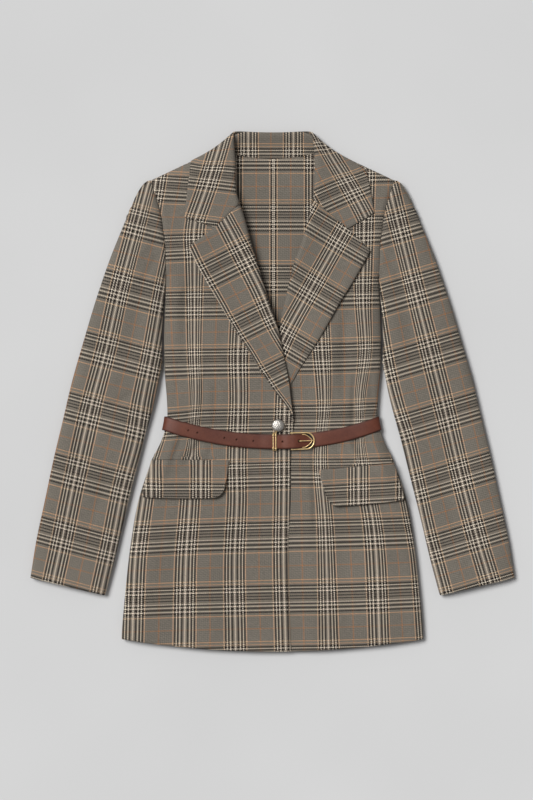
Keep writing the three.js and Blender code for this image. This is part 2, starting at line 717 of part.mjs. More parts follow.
function leafFront(key, t) {
  const ends = [leafPoint(key, 0, t), leafPoint(key, 1, t)];
  const length = Math.hypot(ends[1].x - ends[0].x, ends[1].y - ends[0].y);
  return spread(length, { ...FRONT_STEPS, width: COLLAR_FOLD }).map((s) => {
    const p = leafPoint(key, s / length, t);
    const toRoll = Math.abs(p.x - neckRollX[key](clamp(p.y, SIDES[key].gorgeY, COLLAR_TOP)));
    const d = distanceToSpan(p, FOLD_TOP[key], FOLD_END[key]);
    const top = turnedOver(SIDES[key].rest(p.x, p.y), Math.min(toRoll, t * 90), ROLL_WIDTH,
      { wall: COLLAR_WALL, puff: COLLAR_PUFF, wrap: 1 });
    return new THREE.Vector3(p.x, p.y, lerp(COLLAR_MIDDLE, Math.max(top, LIFT - FRONT_WALL), roundOver(d, COLLAR_FOLD)));
  });
}

function leafBack(t) {
  const a = mix(FOLD_TOP.right, FOLD_END.right, t);
  const b = mix(FOLD_TOP.left, FOLD_END.left, t);
  const length = b.x - a.x;
  return spread(length, { ...BACK_STEPS, width: COLLAR_FOLD }).map((s) => {
    const u = s / length;
    const bow = LEAF_BACK_BOW * t * 4 * u * (1 - u);
    const x = lerp(a.x, b.x, u);
    const y = lerp(a.y, b.y, u) - bow;
    const side = u < 0.5 ? "right" : "left";
    const d = distanceToSpan({ x, y }, FOLD_TOP[side], FOLD_END[side]);
    const under = lerp(LEAF_ROLL_HEIGHT, 0, roundOver(COLLAR_TOP - y, ROLL_WIDTH));
    return new THREE.Vector3(x, y, lerp(COLLAR_MIDDLE, under, roundOver(d, COLLAR_FOLD)));
  });
}

function collarLeaf() {
  const grid = LEAF_ACROSS.map((t) => [
    ...leafFront("right", t),
    ...leafBack(t).slice(1, -1),
    ...leafFront("left", t).reverse(),
  ]);
  return wallMesh("collar_leaf", wool, grid, offsetGrid(grid, COLLAR_WALL));
}

const STAND_ACROSS = [0, 0.35, 0.7, 1];
const standTop = {
  right: { x: FOLD_TOP.right.x - 2.8, y: COLLAR_TOP - 6 },
  left: { x: FOLD_TOP.left.x + 2.8, y: COLLAR_TOP - 6 },
};
const standNeck = (side) => ({ x: side * (SHOULDER_NECK.x - 0.6), y: SHOULDER_NECK.y + 0.6 });

function standFront(key, t) {
  const { side } = SIDES[key];
  const steps = spread(COLLAR_TOP - STAND_START, { plain: 3, bends: 4, width: lerp(SIDE_ROLL, COLLAR_FOLD, t) });
  return steps.map((s) => {
    const share = s / (COLLAR_TOP - STAND_START);
    const neckY = lerp(STAND_START, SHOULDER_NECK.y, share);
    const rollY = lerp(STAND_START, standTop[key].y, share);
    const neck = { x: frontEdgeX(SIDES[key], neckY) - side * 0.9, y: neckY };
    const roll = { x: neckRollX[key](rollY) + side * STAND_INSET, y: rollY };
    const last = mix(standNeck(side), standTop[key], t);
    const p = share === 1 ? last : mix(neck, roll, t);
    const d = distanceToSpan(p, standNeck(side), standTop[key]);
    const rounding = roundOver(d, lerp(SIDE_ROLL, COLLAR_FOLD, t));
    return new THREE.Vector3(p.x, p.y, lerp(lerp(MIDDLE, COLLAR_MIDDLE, t), LIFT - STAND_DROP * t, rounding));
  });
}

function standBack(t) {
  const a = mix(standNeck(-1), standTop.right, t);
  const b = mix(standNeck(1), standTop.left, t);
  const length = b.x - a.x;
  const width = lerp(SIDE_ROLL, COLLAR_FOLD, t);
  return spread(length, { plain: 6, bends: 4, startBends: 4, width }).map((s) => {
    const x = a.x + s;
    const key = x < 0 ? "right" : "left";
    const topY = lerp(standTop[key].y, COLLAR_TOP - STAND_INSET, ease((s < length / 2 ? s : length - s) / 24));
    const y = lerp(Math.min(backTop(x), SHOULDER_NECK.y) + 0.6, topY, t);
    const d = distanceToSpan({ x, y }, standNeck(Math.sign(x)), standTop[key]);
    const under = NECK_RISE + STAND_ROLL_RISE * ease((t - 0.5) / 0.5);
    return new THREE.Vector3(x, y, lerp(lerp(MIDDLE, COLLAR_MIDDLE, t), under, roundOver(d, width)));
  });
}

function collarStand() {
  const grid = STAND_ACROSS.map((t) => [
    ...standFront("right", t),
    ...standBack(t).slice(1, -1),
    ...standFront("left", t).reverse(),
  ]);
  return wallMesh("collar_stand", wool, grid, offsetGrid(grid, -STAND_WALL));
}

// A point between four corners given as [x, y]: front end and side end above, then below
function betweenCorners([a, b, c, d], u, v) {
  const at = (k) => lerp(lerp(a[k], b[k], u), lerp(c[k], d[k], u), v);
  return { x: at(0), y: at(1) };
}

// A layer lying on a front: its outer and inner grids follow the front's own surface
function layerOn(name, { side, face, rest }, plan, wall, raise = () => 0) {
  const outer = plan.map((row) => row.map((p) => {
    const { normal } = face(p.x, p.y);
    const height = raise(p) + REST_GAP;
    const low = new THREE.Vector3(p.x, p.y, rest(p.x, p.y, 4)).addScaledVector(normal, height);
    return { low, high: low.clone().addScaledVector(normal, wall) };
  }));
  const high = outer.map((row) => row.map((cell) => cell.high));
  const low = outer.map((row) => row.map((cell) => cell.low));
  return wallMesh(name, wool, side < 0 ? high.reverse() : high, side < 0 ? low.reverse() : low);
}

const FLAP_ACROSS = [0, 0.02, 0.045, 0.08, 0.2, 0.34, 0.48, 0.62, 0.74, 0.83, 0.9, 0.95, 1];
const FLAP_DOWN = [0, 0.2, 0.45, 0.7, 0.88, 1];

function pocket({ name, corners }) {
  const sideOf = SIDES[name];
  const width = Math.abs(corners[1][0] - corners[0][0]);
  const depth = corners[0][1] - corners[2][1];
  const rounding = (u) => (FLAP_CORNER / depth) * (1 - roundOver(u * width, FLAP_CORNER));
  const flapPlan = FLAP_DOWN.map((v) => FLAP_ACROSS.map((u) => {
    const spot = betweenCorners(corners, u, v * (1 - rounding(u)));
    return { ...spot, u, v };
  }));
  const raise = ({ u, v }) => 1.2 * ease((v - 0.2) / 0.8) + 1.6 * v * v * (1 - ease(u / 0.3));
  const [a, b] = corners;
  const welt = [1, 0].map((row) => FLAP_ACROSS.slice(4).map((u) => ({
    x: lerp(a[0], b[0], u),
    y: lerp(a[1], b[1], u) + SEAM * 2 + row * WELT_HEIGHT,
  })));
  return [
    layerOn("flap_" + name, sideOf, flapPlan, FLAP_WALL, raise),
    layerOn("welt_" + name, sideOf, welt, 1),
  ];
}

// Highest face of the jacket's front at the belt, over its width
const restOnBoth = restingOn([pointsOf(frontRight), pointsOf(frontLeft)], leftFace);
const BELT_SIDE = WAIST - SIDE_ROLL;
const beltTops = new Map();
function beltBase(x) {
  const key = Math.round(x);
  if (!beltTops.has(key)) {
    const over = [-1, -0.5, 0, 0.5, 1].map((w) => restOnBoth(key, beltY(key) + (w * BELT_WIDTH) / 2, 6));
    beltTops.set(key, Math.max(...over));
  }
  return beltTops.get(key);
}
function smoothBase(x) {
  const reach = [-12, -8, -4, 0, 4, 8, 12];
  return reach.reduce((sum, dx) => sum + Math.max(...[-9, 0, 9].map((e) => beltBase(x + dx + e))), 0) / reach.length;
}
const keeperRise = (x) => KEEPER.rise * plateau(x - KEEPER.x, 6, 24);
const lowerStrap = (x) => smoothBase(x) + BELT_GAP + keeperRise(x);
const upperStrap = (x) => lowerStrap(x) + BELT_THICK + SEAM;
const underRim = Math.max(smoothBase(BUCKLE.right), smoothBase(BUCKLE.right - 8)) + BELT_GAP;
const buckleBase = Math.max(underRim + BELT_THICK + SEAM, lowerStrap(BUCKLE.left) + 0.6);
const overBar = buckleBase + BUCKLE.thick + SEAM;

// Underside of the strap that comes from the left side: under the rim, over the bar, then on the other strap
function looseEnd(x) {
  if (x > BUCKLE.right - 8) return smoothBase(x) + BELT_GAP;
  if (x > 31) return lerp(overBar, smoothBase(BUCKLE.right - 8) + BELT_GAP, ease((x - 31) / (BUCKLE.right - 39)));
  if (x > 25) return overBar;
  return lerp(upperStrap(Math.min(x, 14)), overBar, ease((x - 12) / 13));
}

// Cross rows of the belt on the front, at each side turn and beneath the back
const BELT_ACROSS = [-1, 0, 1];
function onTop(x, underside) {
  return BELT_ACROSS.map((w) => {
    const y = beltY(x) + (w * BELT_WIDTH) / 2;
    const z = underside(x);
    return { low: new THREE.Vector3(x, y, z), high: new THREE.Vector3(x, y, z + BELT_THICK) };
  });
}
function roundSide(side, angle, layer) {
  return BELT_ACROSS.map((w) => {
    const y = beltY(WAIST) + (w * BELT_WIDTH) / 2;
    const half = sideX(y);
    const rise = Math.sin(angle);
    const reach = Math.cos(angle);
    const topHeight = smoothBase(side * BELT_SIDE) - MIDDLE;
    const height = rise > 0 ? topHeight : MIDDLE - BELT_BED;
    const bend = beltY(half - SIDE_ROLL + reach * SIDE_ROLL) - beltY(WAIST);
    const point = new THREE.Vector3(half - SIDE_ROLL + SIDE_ROLL * reach, y + bend, MIDDLE + height * rise);
    const normal = new THREE.Vector3(reach / SIDE_ROLL, 0, rise / height).normalize();
    const gap = lerp(BELT_GAP, BELT_SIDE_GAP, reach) + layer * (BELT_THICK + SEAM);
    const low = point.clone().addScaledVector(normal, gap);
    const high = point.clone().addScaledVector(normal, gap + BELT_THICK);
    for (const p of [low, high]) p.x *= side;
    return { low, high };
  });
}
function beneath(x) {
  return BELT_ACROSS.map((w) => {
    const y = backBeltY(x) + (w * BELT_WIDTH) / 2;
    const low = new THREE.Vector3(x, y, BELT_BED - BELT_GAP);
    return { low, high: new THREE.Vector3(x, y, BELT_BED - BELT_GAP - BELT_THICK) };
  });
}

// Solids joined or cut
function solidOf(geometry) {
  const bare = geometry.clone();
  bare.deleteAttribute("normal");
  bare.deleteAttribute("uv");
  const merged = mergeVertices(bare, 1e-4);
  return new wasm.Manifold(new wasm.Mesh({
    numProp: 3,
    vertProperties: merged.attributes.position.array,
    triVerts: new Uint32Array(merged.index.array),
  }));
}
function solidMesh(name, material, solid) {
  const { vertProperties, triVerts } = solid.getMesh();
  const geometry = new THREE.BufferGeometry();
  geometry.setAttribute("position", new THREE.BufferAttribute(vertProperties, 3));
  geometry.setIndex(new THREE.BufferAttribute(triVerts, 1));
  geometry.computeVertexNormals();
  const mesh = new THREE.Mesh(geometry, material);
  mesh.name = name;
  return mesh;
}

const HOLES = [-126, -112.5, -72, -53.7, -28.6, 15.2];
const PRONG_HOLE = 40.2;
const HOLE_RADIUS = 1.5;
const PRONG_HOLE_RADIUS = 2.2;
const QUARTER = Math.PI / 2;

function belt() {
  const rows = [];
  const from = BUCKLE.left - SEAM * 2;
  for (const x of [from, 18, 10, 3, -4, -12, -22, -34, -50, -68, -86, -104, -122]) rows.push(onTop(x, lowerStrap));
  for (let k = 0; k <= 12; k++) rows.push(roundSide(-1, QUARTER * (1 - k / 6), 0));
  for (const x of [-110, -66, -22, 22, 66, 110]) rows.push(beneath(x));
  for (let k = 0; k <= 12; k++) rows.push(roundSide(1, QUARTER * (k / 6 - 1), 0));
  const over = [122, 104, 86, 72, 64, 57, 52, 47, 42, 37, 32, 28, 25, 21, 17, 13, 8, 3, -4, -12, -22, -34, -50, -68, -86, -104, -122];
  for (const x of over) rows.push(onTop(x, looseEnd));
  for (let k = 0; k <= 7; k++) rows.push(roundSide(-1, QUARTER * (1 - k / 6), 1));
  const outer = rows.map((row) => row.map(({ high }) => high));
  const inner = rows.map((row) => row.map(({ low }) => low));
  let solid = solidOf(wallMesh("strap", leather, outer, inner).geometry);
  for (const x of [...HOLES, PRONG_HOLE]) {
    const radius = x === PRONG_HOLE ? PRONG_HOLE_RADIUS : HOLE_RADIUS;
    const z = looseEnd(x);
    const punch = new THREE.CylinderGeometry(radius, radius, BELT_THICK + 1.4, 10).rotateX(QUARTER);
    punch.translate(x, beltY(x), z - 0.1 + (BELT_THICK + 1.4) / 2);
    solid = solid.subtract(solidOf(punch));
  }
  return solidMesh("belt_strap", leather, solid);
}

// Buckle pieces are made on y = 0 and turned to the belt's slope
function turnedWithBelt(geometry) {
  const x = (BUCKLE.left + BUCKLE.right) / 2 - 5;
  return geometry.translate(-x, 0, 0).rotateZ(BUCKLE.turn).translate(x, beltY(x) + 0.15, 0);
}

// The buckle: a D with its bar at the straight side
function buckle() {
  const { left, right, half, arm, rim, bar, thick } = BUCKLE;
  const y = 0;
  const outline = new THREE.Shape();
  outline.moveTo(left, y - half);
  outline.lineTo(right - half, y - half);
  outline.absarc(right - half, y, half, -QUARTER, QUARTER, false);
  outline.lineTo(left, y + half);
  outline.closePath();
  const inside = half - arm;
  const hole = new THREE.Path();
  hole.moveTo(left + bar, y - inside);
  hole.lineTo(right - rim - inside, y - inside);
  hole.absarc(right - rim - inside, y, inside, -QUARTER, QUARTER, false);
  hole.lineTo(left + bar, y + inside);
  hole.closePath();
  outline.holes.push(hole);
  const geometry = new THREE.ExtrudeGeometry(outline, { depth: thick, bevelEnabled: false, curveSegments: 12 });
  geometry.translate(0, 0, buckleBase);
  return solidMesh("buckle_frame", gold, solidOf(turnedWithBelt(geometry)));
}

function prong() {
  const { left, right, bar, thick } = BUCKLE;
  const rimTop = buckleBase + thick + PRONG_RADIUS + SEAM * 0.8;
  const strap = looseEnd(PRONG_HOLE);
  const route = [
    [left + bar + SEAM, buckleBase + 0.9],
    [left + bar + 4.5, strap - 1.4],
    [PRONG_HOLE - 1.3, strap - 1.2],
    [PRONG_HOLE - 0.2, strap + 0.6],
    [PRONG_HOLE + 0.9, Math.max(strap + BELT_THICK + 0.9, rimTop - 0.3)],
    [(PRONG_HOLE + right) / 2, Math.max(strap + BELT_THICK + 0.9, rimTop + 0.2)],
    [right - 1.4, rimTop],
  ].map(([x, z]) => new THREE.Vector3(x, 0, z));
  const section = new THREE.Shape().absarc(0, 0, PRONG_RADIUS, 0, Math.PI * 2, false);
  const geometry = new THREE.ExtrudeGeometry(section, {
    steps: 18,
    curveSegments: 4,
    extrudePath: new THREE.CatmullRomCurve3(route, false, "centripetal"),
  });
  return solidMesh("buckle_prong", gold, solidOf(turnedWithBelt(geometry)));
}

// The keeper: two bars over the straps, joined at both ends to a plate beneath them, and a link to the button
function keeper() {
  const { x, half, bar, spread: apart, plate } = KEEPER;
  const y = beltY(x);
  const top = Math.max(looseEnd(x - 4), looseEnd(x), looseEnd(x + 5)) + BELT_THICK + SEAM;
  const low = Math.min(lowerStrap(x - 3), lowerStrap(x + 3)) - SEAM - plate;
  const block = (w, l, h, cx, cy, cz) => new THREE.BoxGeometry(w, l, h).translate(cx, cy, cz + h / 2);
  let solid = solidOf(block(2 * apart + bar, 2 * half, plate, x, y, low));
  for (const side of [-1, 1]) {
    const across = block(2 * apart + bar, bar, top + bar - low, x, y + side * (half - bar / 2), low);
    const rail = block(bar, 2 * half - 0.2, bar, x + side * apart, y, top);
    solid = solid.add(solidOf(across)).add(solidOf(rail));
  }
  const link = block(bar, 7.5, 1, BUTTON.x - 2, y + half + 2.5, low + 0.9);
  return solidMesh("belt_keeper", gold, solid.add(solidOf(link)));
}

function button() {
  const { x, y, radius, height, shank } = BUTTON;
  const base = SIDES.right.rest(x, y, 9) + SEAM;
  const rim = 2.2;
  const profile = [[0, 0], [shank, 0], [shank, rim - 0.4], [radius - 0.6, rim], [radius, rim + 0.6]];
  for (let k = 1; k <= 6; k++) {
    const angle = (k / 6) * QUARTER;
    profile.push([radius * Math.cos(angle), rim + 0.6 + (height - rim - 0.6) * Math.sin(angle)]);
  }
  profile[profile.length - 1][0] = 0;
  const geometry = new THREE.LatheGeometry(profile.map(([r, h]) => new THREE.Vector2(r, h)), 24).rotateX(QUARTER);
  geometry.translate(x, y, base);
  return solidMesh("button", silver, solidOf(geometry));
}

const jacket = new THREE.Group();
jacket.add(...fronts(), ...backs());
jacket.add(lapel("lapel_right", SIDES.right), lapel("lapel_left", SIDES.left));
for (const [name, side] of [["right", -1], ["left", 1]]) {
  jacket.add(sleevePiece("top_sleeve_" + name, side, true));
  jacket.add(sleevePiece("under_sleeve_" + name, side, false));
}
jacket.add(collarLeaf(), collarStand());
jacket.add(...FLAPS.flatMap(pocket));
jacket.add(belt(), buckle(), prong(), keeper(), button());
export default jacket;
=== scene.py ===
# %% [markdown]
# # A checked wool jacket with a narrow belt, laid flat
# The jacket lies on its back on a table and is seen from straight above. Every panel of cloth is a
# thin shell on the form that the imported model holds, with its creases given one by one.

# %% Load the imported model
import math

import bpy
import numpy as np
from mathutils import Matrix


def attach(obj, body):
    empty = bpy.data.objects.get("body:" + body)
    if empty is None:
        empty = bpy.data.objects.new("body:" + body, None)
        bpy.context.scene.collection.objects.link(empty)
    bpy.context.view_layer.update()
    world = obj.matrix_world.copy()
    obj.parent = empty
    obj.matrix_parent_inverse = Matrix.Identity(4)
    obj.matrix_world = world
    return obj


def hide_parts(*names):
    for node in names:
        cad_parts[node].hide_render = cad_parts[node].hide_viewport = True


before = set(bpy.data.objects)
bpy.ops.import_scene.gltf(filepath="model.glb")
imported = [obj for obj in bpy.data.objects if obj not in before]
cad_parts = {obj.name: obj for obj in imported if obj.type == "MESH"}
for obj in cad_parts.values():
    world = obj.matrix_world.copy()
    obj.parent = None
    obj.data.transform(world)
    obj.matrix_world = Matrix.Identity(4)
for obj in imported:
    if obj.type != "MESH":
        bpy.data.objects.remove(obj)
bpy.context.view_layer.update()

# %% [markdown]
# ## Numbers and curves
# The model is drawn in millimetres and turned to metres when a mesh is made. An outline is a short
# table of (y, x) rows with a smooth curve through it, which is enough for a garment's long soft edges.

# %% Curves through short tables
MM = 0.001


def ease(value):
    t = np.clip(value, 0, 1)
    return t * t * (3 - 2 * t)


def lerp(a, b, t):
    return a + (b - a) * t


def round_over(distance, width):
    """0 at an edge, 1 a width inside it, along a quarter of an ellipse."""
    return np.sqrt(1 - (1 - np.clip(distance / width, 0, 1)) ** 2)


def curve(rows, straight_on=False):
    """A smooth curve x(y) through rows of (y, x)."""
    ys, xs = np.array(rows, float).T
    slopes = np.gradient(xs, ys) if len(ys) > 2 else np.full(2, (xs[1] - xs[0]) / (ys[1] - ys[0]))
    for i in range(1, len(ys) - 1):
        slopes[i] = (xs[i + 1] - xs[i - 1]) / (ys[i + 1] - ys[i - 1])

    def at(y):
        y = np.asarray(y, float)
        held = np.clip(y, ys[0], ys[-1])
        i = np.clip(np.searchsorted(ys, held) - 1, 0, len(ys) - 2)
        step = ys[i + 1] - ys[i]
        t = (held - ys[i]) / step
        a = (1 + 2 * t) * (1 - t) ** 2 * xs[i] + t * (1 - t) ** 2 * step * slopes[i]
        b = t * t * (3 - 2 * t) * xs[i + 1] + t * t * (t - 1) * step * slopes[i + 1]
        beyond = np.where(y < ys[0], slopes[0], slopes[-1]) * (y - held) if straight_on else 0
        return a + b + beyond

    return at


# %% [markdown]
# ## The outline of the flattened jacket
# Half widths from hem to shoulder, the sleeve's outer and inner edge, and the edges of the opening.
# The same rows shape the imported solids, so cloth and solids share every seam.

# %% Outline tables
NECK_X, NECK_Y = 80, 364            # where the shoulder meets the neck
TIP_X, TIP_Y = 183, 316             # the shoulder's tip
UNDERARM_X, UNDERARM_Y = 159.8, 172
HEM_Y, CUFF_Y, INNER_CUFF_Y = -391.8, -281, -307.5
HEM_RISE, HEM_HALF = 18.8, 226      # the hem curves up towards the side seams
side_x = curve([(-373, 227), (-345, 225.2), (-285, 219.6), (-225, 212.4), (-165, 201.5), (-105, 181.5),
                (-75, 167), (-45, 158.8), (-15, 158.8), (28, 162.2), (75, 163.2), (120, 162), (172, 159.8)])
armhole_x = curve([(172, 159.8), (193, 160.3), (215, 161), (242, 164.2), (265, 167.5), (284, 172.5),
                   (305, 179.5), (316, 183)])
outer_x = curve([(-281, 364), (-224, 354.8), (-164, 342), (-104, 329.3), (-44, 315), (16, 300.8),
                 (76, 283.5), (136, 265.5), (196, 245), (236, 229), (262, 218), (282, 208.6), (294, 202.6),
                 (303, 197.4), (310, 192), (316, 183)])
free_inner_x = curve([(-307.5, 251.3), (-254, 237), (-194, 222.8), (-134, 207.8), (-74, 192.8),
                      (-14, 176.5), (20, 169.8), (60, 166.8), (110, 165), (150, 162.6), (172, 160.6)])


def inner_x(y):
    """The sleeve's inner edge. Above the waist it lies beside the body, and a slit widens between them."""
    y = np.asarray(y, float)
    slit = 0.3 + 2.4 * ease((165 - y) / 80)
    return lerp(free_inner_x(y), side_x(np.minimum(y, UNDERARM_Y)) + slit, ease((y - 14) / 46))


right_edge_x = curve([(-391.5, 27.3), (-310, 24), (-225, 23.3), (-170, 26.3), (-100, 27.4), (-62, 30.6),
                      (-46, 31.2), (-30, 29.4), (-14, 27.4), (16, 24), (61, 15.8), (91, 9), (121, -0.8),
                      (151, -10.5), (181, -19.5), (208, -27.8), (229, -33.8), (253, -39.8), (281, -48.8)])
left_edge_x = curve([(-391.5, -20), (-90, -20), (-32, -20), (20, -8), (60, 3), (86, 9.8), (121, 15.3),
                     (158, 24), (193, 32.8), (209, 38.3), (238, 47.8), (263, 55.5), (287, 60.8)])
lapel_rows = {
    "right": [(-42, 30), (-30, 25.2), (-18, 17), (0.8, 2.2), (14, -6.8), (32, -18.8), (58, -34),
              (80, -48.8), (104, -63.8), (130, -78.8), (155, -93.8), (187, -111.8), (215.3, -125.3)],
    "left": [(-20, 3), (10, 27.6), (31, 39.8), (60, 58.6), (83, 73), (103, 84.3), (133, 101.5),
             (166, 122), (196, 139), (209.3, 146.3)],
}
neck_roll_x = {
    "right": curve([(281, -48.8), (301, -54), (343, -54.8), (374, -57.2), (391, -58.2)]),
    "left": curve([(287, 60.8), (316, 62.6), (346, 62.9), (368, 61.2), (391, 59)]),
}
leaf_x = {
    "right": curve([(260.3, -131.3), (278, -129.8), (304, -126.8), (328, -124.2), (348.5, -122.6)]),
    "left": curve([(266.3, 152.3), (286, 149.3), (301, 146.8), (316, 144.2), (339.6, 139.6)]),
}
LEAF_POINT_Y = {"right": 260.3, "left": 266.3}
NOTCH = {"right": (-86.4, 245), "left": (113, 243.2)}
SIDES = {
    "right": dict(side=-1, edge_x=right_edge_x, gorge_y=281, point_y=215.3, puff_from=20, break_y=-48),
    "left": dict(side=1, edge_x=left_edge_x, gorge_y=287, point_y=209.3, puff_from=92, break_y=-28),
}

# %% [markdown]
# ## Heights: how the flattened body swells
# Cloth laid flat rounds over at its sides like a thin cushion and lies level between them. The height
# is worked out from the distance to the outline. The belt pinches the waist, and the left front dips
# where the right one lies on it.

# %% Distances to the outline
SIDE_ROLL, MIDDLE, SEAM = 24, 8, 0.3
LIFT, CUFF_LIFT, HEM_LIFT = 17, 14, 13
BELT_CENTRE, BELT_SIDE_RISE, WAIST, BELT_LOW_POINT = -76.8, 28, 161, 8


def line_distance(x, y, line):
    """The least distance from each point to a line of points, in the plane."""
    x, y = np.asarray(x, float), np.asarray(y, float)
    best = np.full(np.broadcast(x, y).shape, np.inf)
    for (ax, ay), (bx, by) in zip(line[:-1], line[1:]):
        dx, dy = bx - ax, by - ay
        t = np.clip(((x - ax) * dx + (y - ay) * dy) / (dx * dx + dy * dy), 0, 1)
        best = np.minimum(best, np.hypot(ax + dx * t - x, ay + dy * t - y))
    return best


def sampled(edge, low, high, count):
    ys = np.linspace(low, high, count + 1)
    return np.stack([edge(ys), ys], 1)


upper_line = np.vstack([[(NECK_X, NECK_Y)], sampled(outer_x, TIP_Y, CUFF_Y, 60)])
side_line = sampled(side_x, HEM_Y + HEM_RISE, UNDERARM_Y, 50)
inner_line = sampled(inner_x, INNER_CUFF_Y, UNDERARM_Y, 50)
armhole_line = sampled(armhole_x, UNDERARM_Y, TIP_Y, 30)
FOLD_TOP = {"right": np.array([-58.2, 391.0]), "left": np.array([59.0, 391.0])}
FOLD_END = {"right": np.array([-122.6, 348.5]), "left": np.array([139.6, 339.6])}
LEAF_BACK_BOW, NECK_RISE, BELT_BED = 21, 2.8, 2.4


def belt_y(x):
    away = np.abs(x - BELT_LOW_POINT * np.maximum(0, 1 - np.abs(x) / WAIST))
    return BELT_CENTRE + BELT_SIDE_RISE * (away / WAIST) ** 2.2


def back_belt_y(x):
    return BELT_CENTRE + BELT_SIDE_RISE * (0.8 + 0.2 * (x / WAIST) ** 2)


def plateau(distance, flat, reach):
    return 1 - ease((np.abs(distance) - flat) / (reach - flat))


# %% [markdown]
# ## Creases
# Wool keeps a few broad, soft folds where the dart and the belt draw it in, where the sleeve hangs
# from its head, and at the bend of the elbow. Each is one row: where it starts and ends, its half
# width, and its rise (+) or depth (-). They are uneven in length, depth and spacing, as in real cloth.

# %% Crease tables
CREASE_STRENGTH = 1.35
MAIN_FOLDS = [
    (-111, -78, -130, -108, 6, -3), (120, -70, 146, -108, 6, -2.6), (-148, -66, -166, -130, 8, 1.8),
    (146, -66, 170, -130, 8, 1.6), (-160, -64, -177, -100, 3, -2.4), (160, -64, 180, -104, 3, -2.2),
    (-128, 170, -130, 70, 10, -2.6), (109, 118, 107, -10, 10, -2.8), (61, -84, 65, -210, 4.5, -2.6),
    (72, -88, 84, -240, 7, 1.2), (-104, 20, -106, -50, 5, -1.6), (123, 20, 121, -50, 5, -2.4),
    (-110, 70, -112, -40, 10, 1.4), (190, 170, 214, 60, 14, -2), (250, 40, 285, -120, 16, -1.6),
    (-190, 170, -216, 50, 14, -2), (-262, 30, -296, -140, 16, -1.6),
]
SMALL_FOLDS = [
    # waist: short pleats that fan out above and below the belt
    (-134, -66, -150, -104, 3.2, -1.3), (-118, -78, -129, -104, 2.6, 0.9), (-92, -84, -98, -108, 3.4, -0.9),
    (-60, -92, -66, -128, 5, -0.7), (-30, -94, -34, -150, 6, -0.6), (136, -64, 158, -104, 3.2, -1.4),
    (112, -74, 128, -108, 3, 0.9), (96, -82, 104, -112, 4, -0.8), (48, -92, 54, -140, 5, -0.8),
    (-148, -20, -142, 22, 4.5, -1.0), (-128, -24, -124, 30, 4, 0.8), (-86, -44, -84, 14, 5, -0.7),
    (150, -14, 146, 26, 4.5, -1.1), (132, -22, 128, 34, 4, 0.8), (92, -44, 92, 10, 5, -0.7),
    (66, -50, 62, 4, 5, 0.6), (-52, -56, -54, 0, 5, 0.5),
    # skirt: long shallow waves down to the hem
    (-176, -190, -192, -372, 13, 1.3), (-140, -200, -150, -380, 12, -1.0), (-92, -190, -96, -384, 15, 0.9),
    (-46, -180, -50, -388, 14, -0.7), (58, -190, 64, -388, 13, 0.8), (104, -200, 114, -384, 14, -0.9),
    (150, -196, 166, -378, 13, 1.1), (190, -230, 200, -372, 10, -0.9),
    # chest and shoulder
    (-146, 250, -120, 226, 9, -0.9), (-150, 120, -128, 168, 8, 0.9), (150, 250, 128, 214, 9, -0.9),
    (148, 110, 132, 160, 8, 0.9), (-92, 60, -84, 110, 9, 0.6), (80, -10, 84, 44, 8, 0.6),
    # sleeves: under the head, at the elbow, above the cuff
    (-182, 262, -212, 232, 7, -1.2), (-176, 236, -206, 196, 6, 0.9), (-172, 204, -196, 160, 6, -1.0),
    (-226, 26, -262, 4, 7, 1.0), (-214, -6, -252, -30, 6, -1.2), (-232, -40, -262, -66, 7, 0.9),
    (-246, -130, -276, -206, 9, -0.9), (-300, -120, -322, -230, 10, 0.8), (-270, 96, -290, 20, 8, 0.8),
    (184, 258, 214, 230, 7, -1.2), (176, 232, 204, 190, 6, 0.9), (174, 198, 198, 154, 6, -1.0),
    (224, 20, 262, 2, 7, 1.0), (216, -14, 254, -34, 6, -1.2), (234, -52, 266, -74, 7, 0.9),
    (252, -140, 280, -216, 9, -0.9), (304, -126, 326, -236, 10, 0.8), (272, 88, 292, 14, 8, 0.8),
]
BACK_FOLDS = [
    (-150, -70, -160, -140, 9, 0.9), (146, -66, 160, -136, 9, 0.9), (-60, -90, -66, -210, 12, 0.8),
    (70, -80, 78, -190, 11, 0.7), (-110, -30, -104, 90, 12, 0.8), (108, -20, 100, 110, 12, 0.7),
    (-20, 60, -24, 180, 14, 0.5), (40, 100, 46, 220, 12, 0.5),
]


def crease_rise(x, y, folds):
    rise = np.zeros(np.broadcast(x, y).shape)
    for x0, y0, x1, y1, width, height in folds:
        dx, dy = x1 - x0, y1 - y0
        along = ((x - x0) * dx + (y - y0) * dy) / (dx * dx + dy * dy)
        across = np.abs((x - x0) * dy - (y - y0) * dx) / math.hypot(dx, dy)
        ends = ease((along + 0.25) / 0.5) * ease((1.25 - along) / 0.5)
        rise += CREASE_STRENGTH * height * ends * np.exp(-((across / width) ** 2))
    return rise


def slow_waves(x, y, seed):
    """Very shallow unevenness, as in cloth that has been pressed and then handled."""
    a = np.sin(x / 31 + y / 83 + seed) * np.sin(y / 47 - x / 140 + 2.1 * seed)
    return 0.28 * a + 0.12 * np.sin(x / 13.7 - y / 22.3 + seed) * np.sin(y / 17.1 + 1.3 * seed)


# %% Heights of the faces
def face_height(x, y, lift, up, sleeve=False):
    """z of a panel's face: level at its lift and rounded down to the outline."""
    half = np.abs(x)
    under_line = inner_line if sleeve else side_line
    d = np.minimum(line_distance(half, y, upper_line), line_distance(half, y, under_line))
    rounding = round_over(d, SIDE_ROLL)
    height, way = (lift - MIDDLE, 1) if up else (MIDDLE - lift, -1)
    return MIDDLE + way * (SEAM / 4 * (1 - rounding) + height * rounding)


def seam_dip(x, y, line, depth, width):
    return depth * np.exp(-((line_distance(np.abs(x), y, line) / width) ** 2))


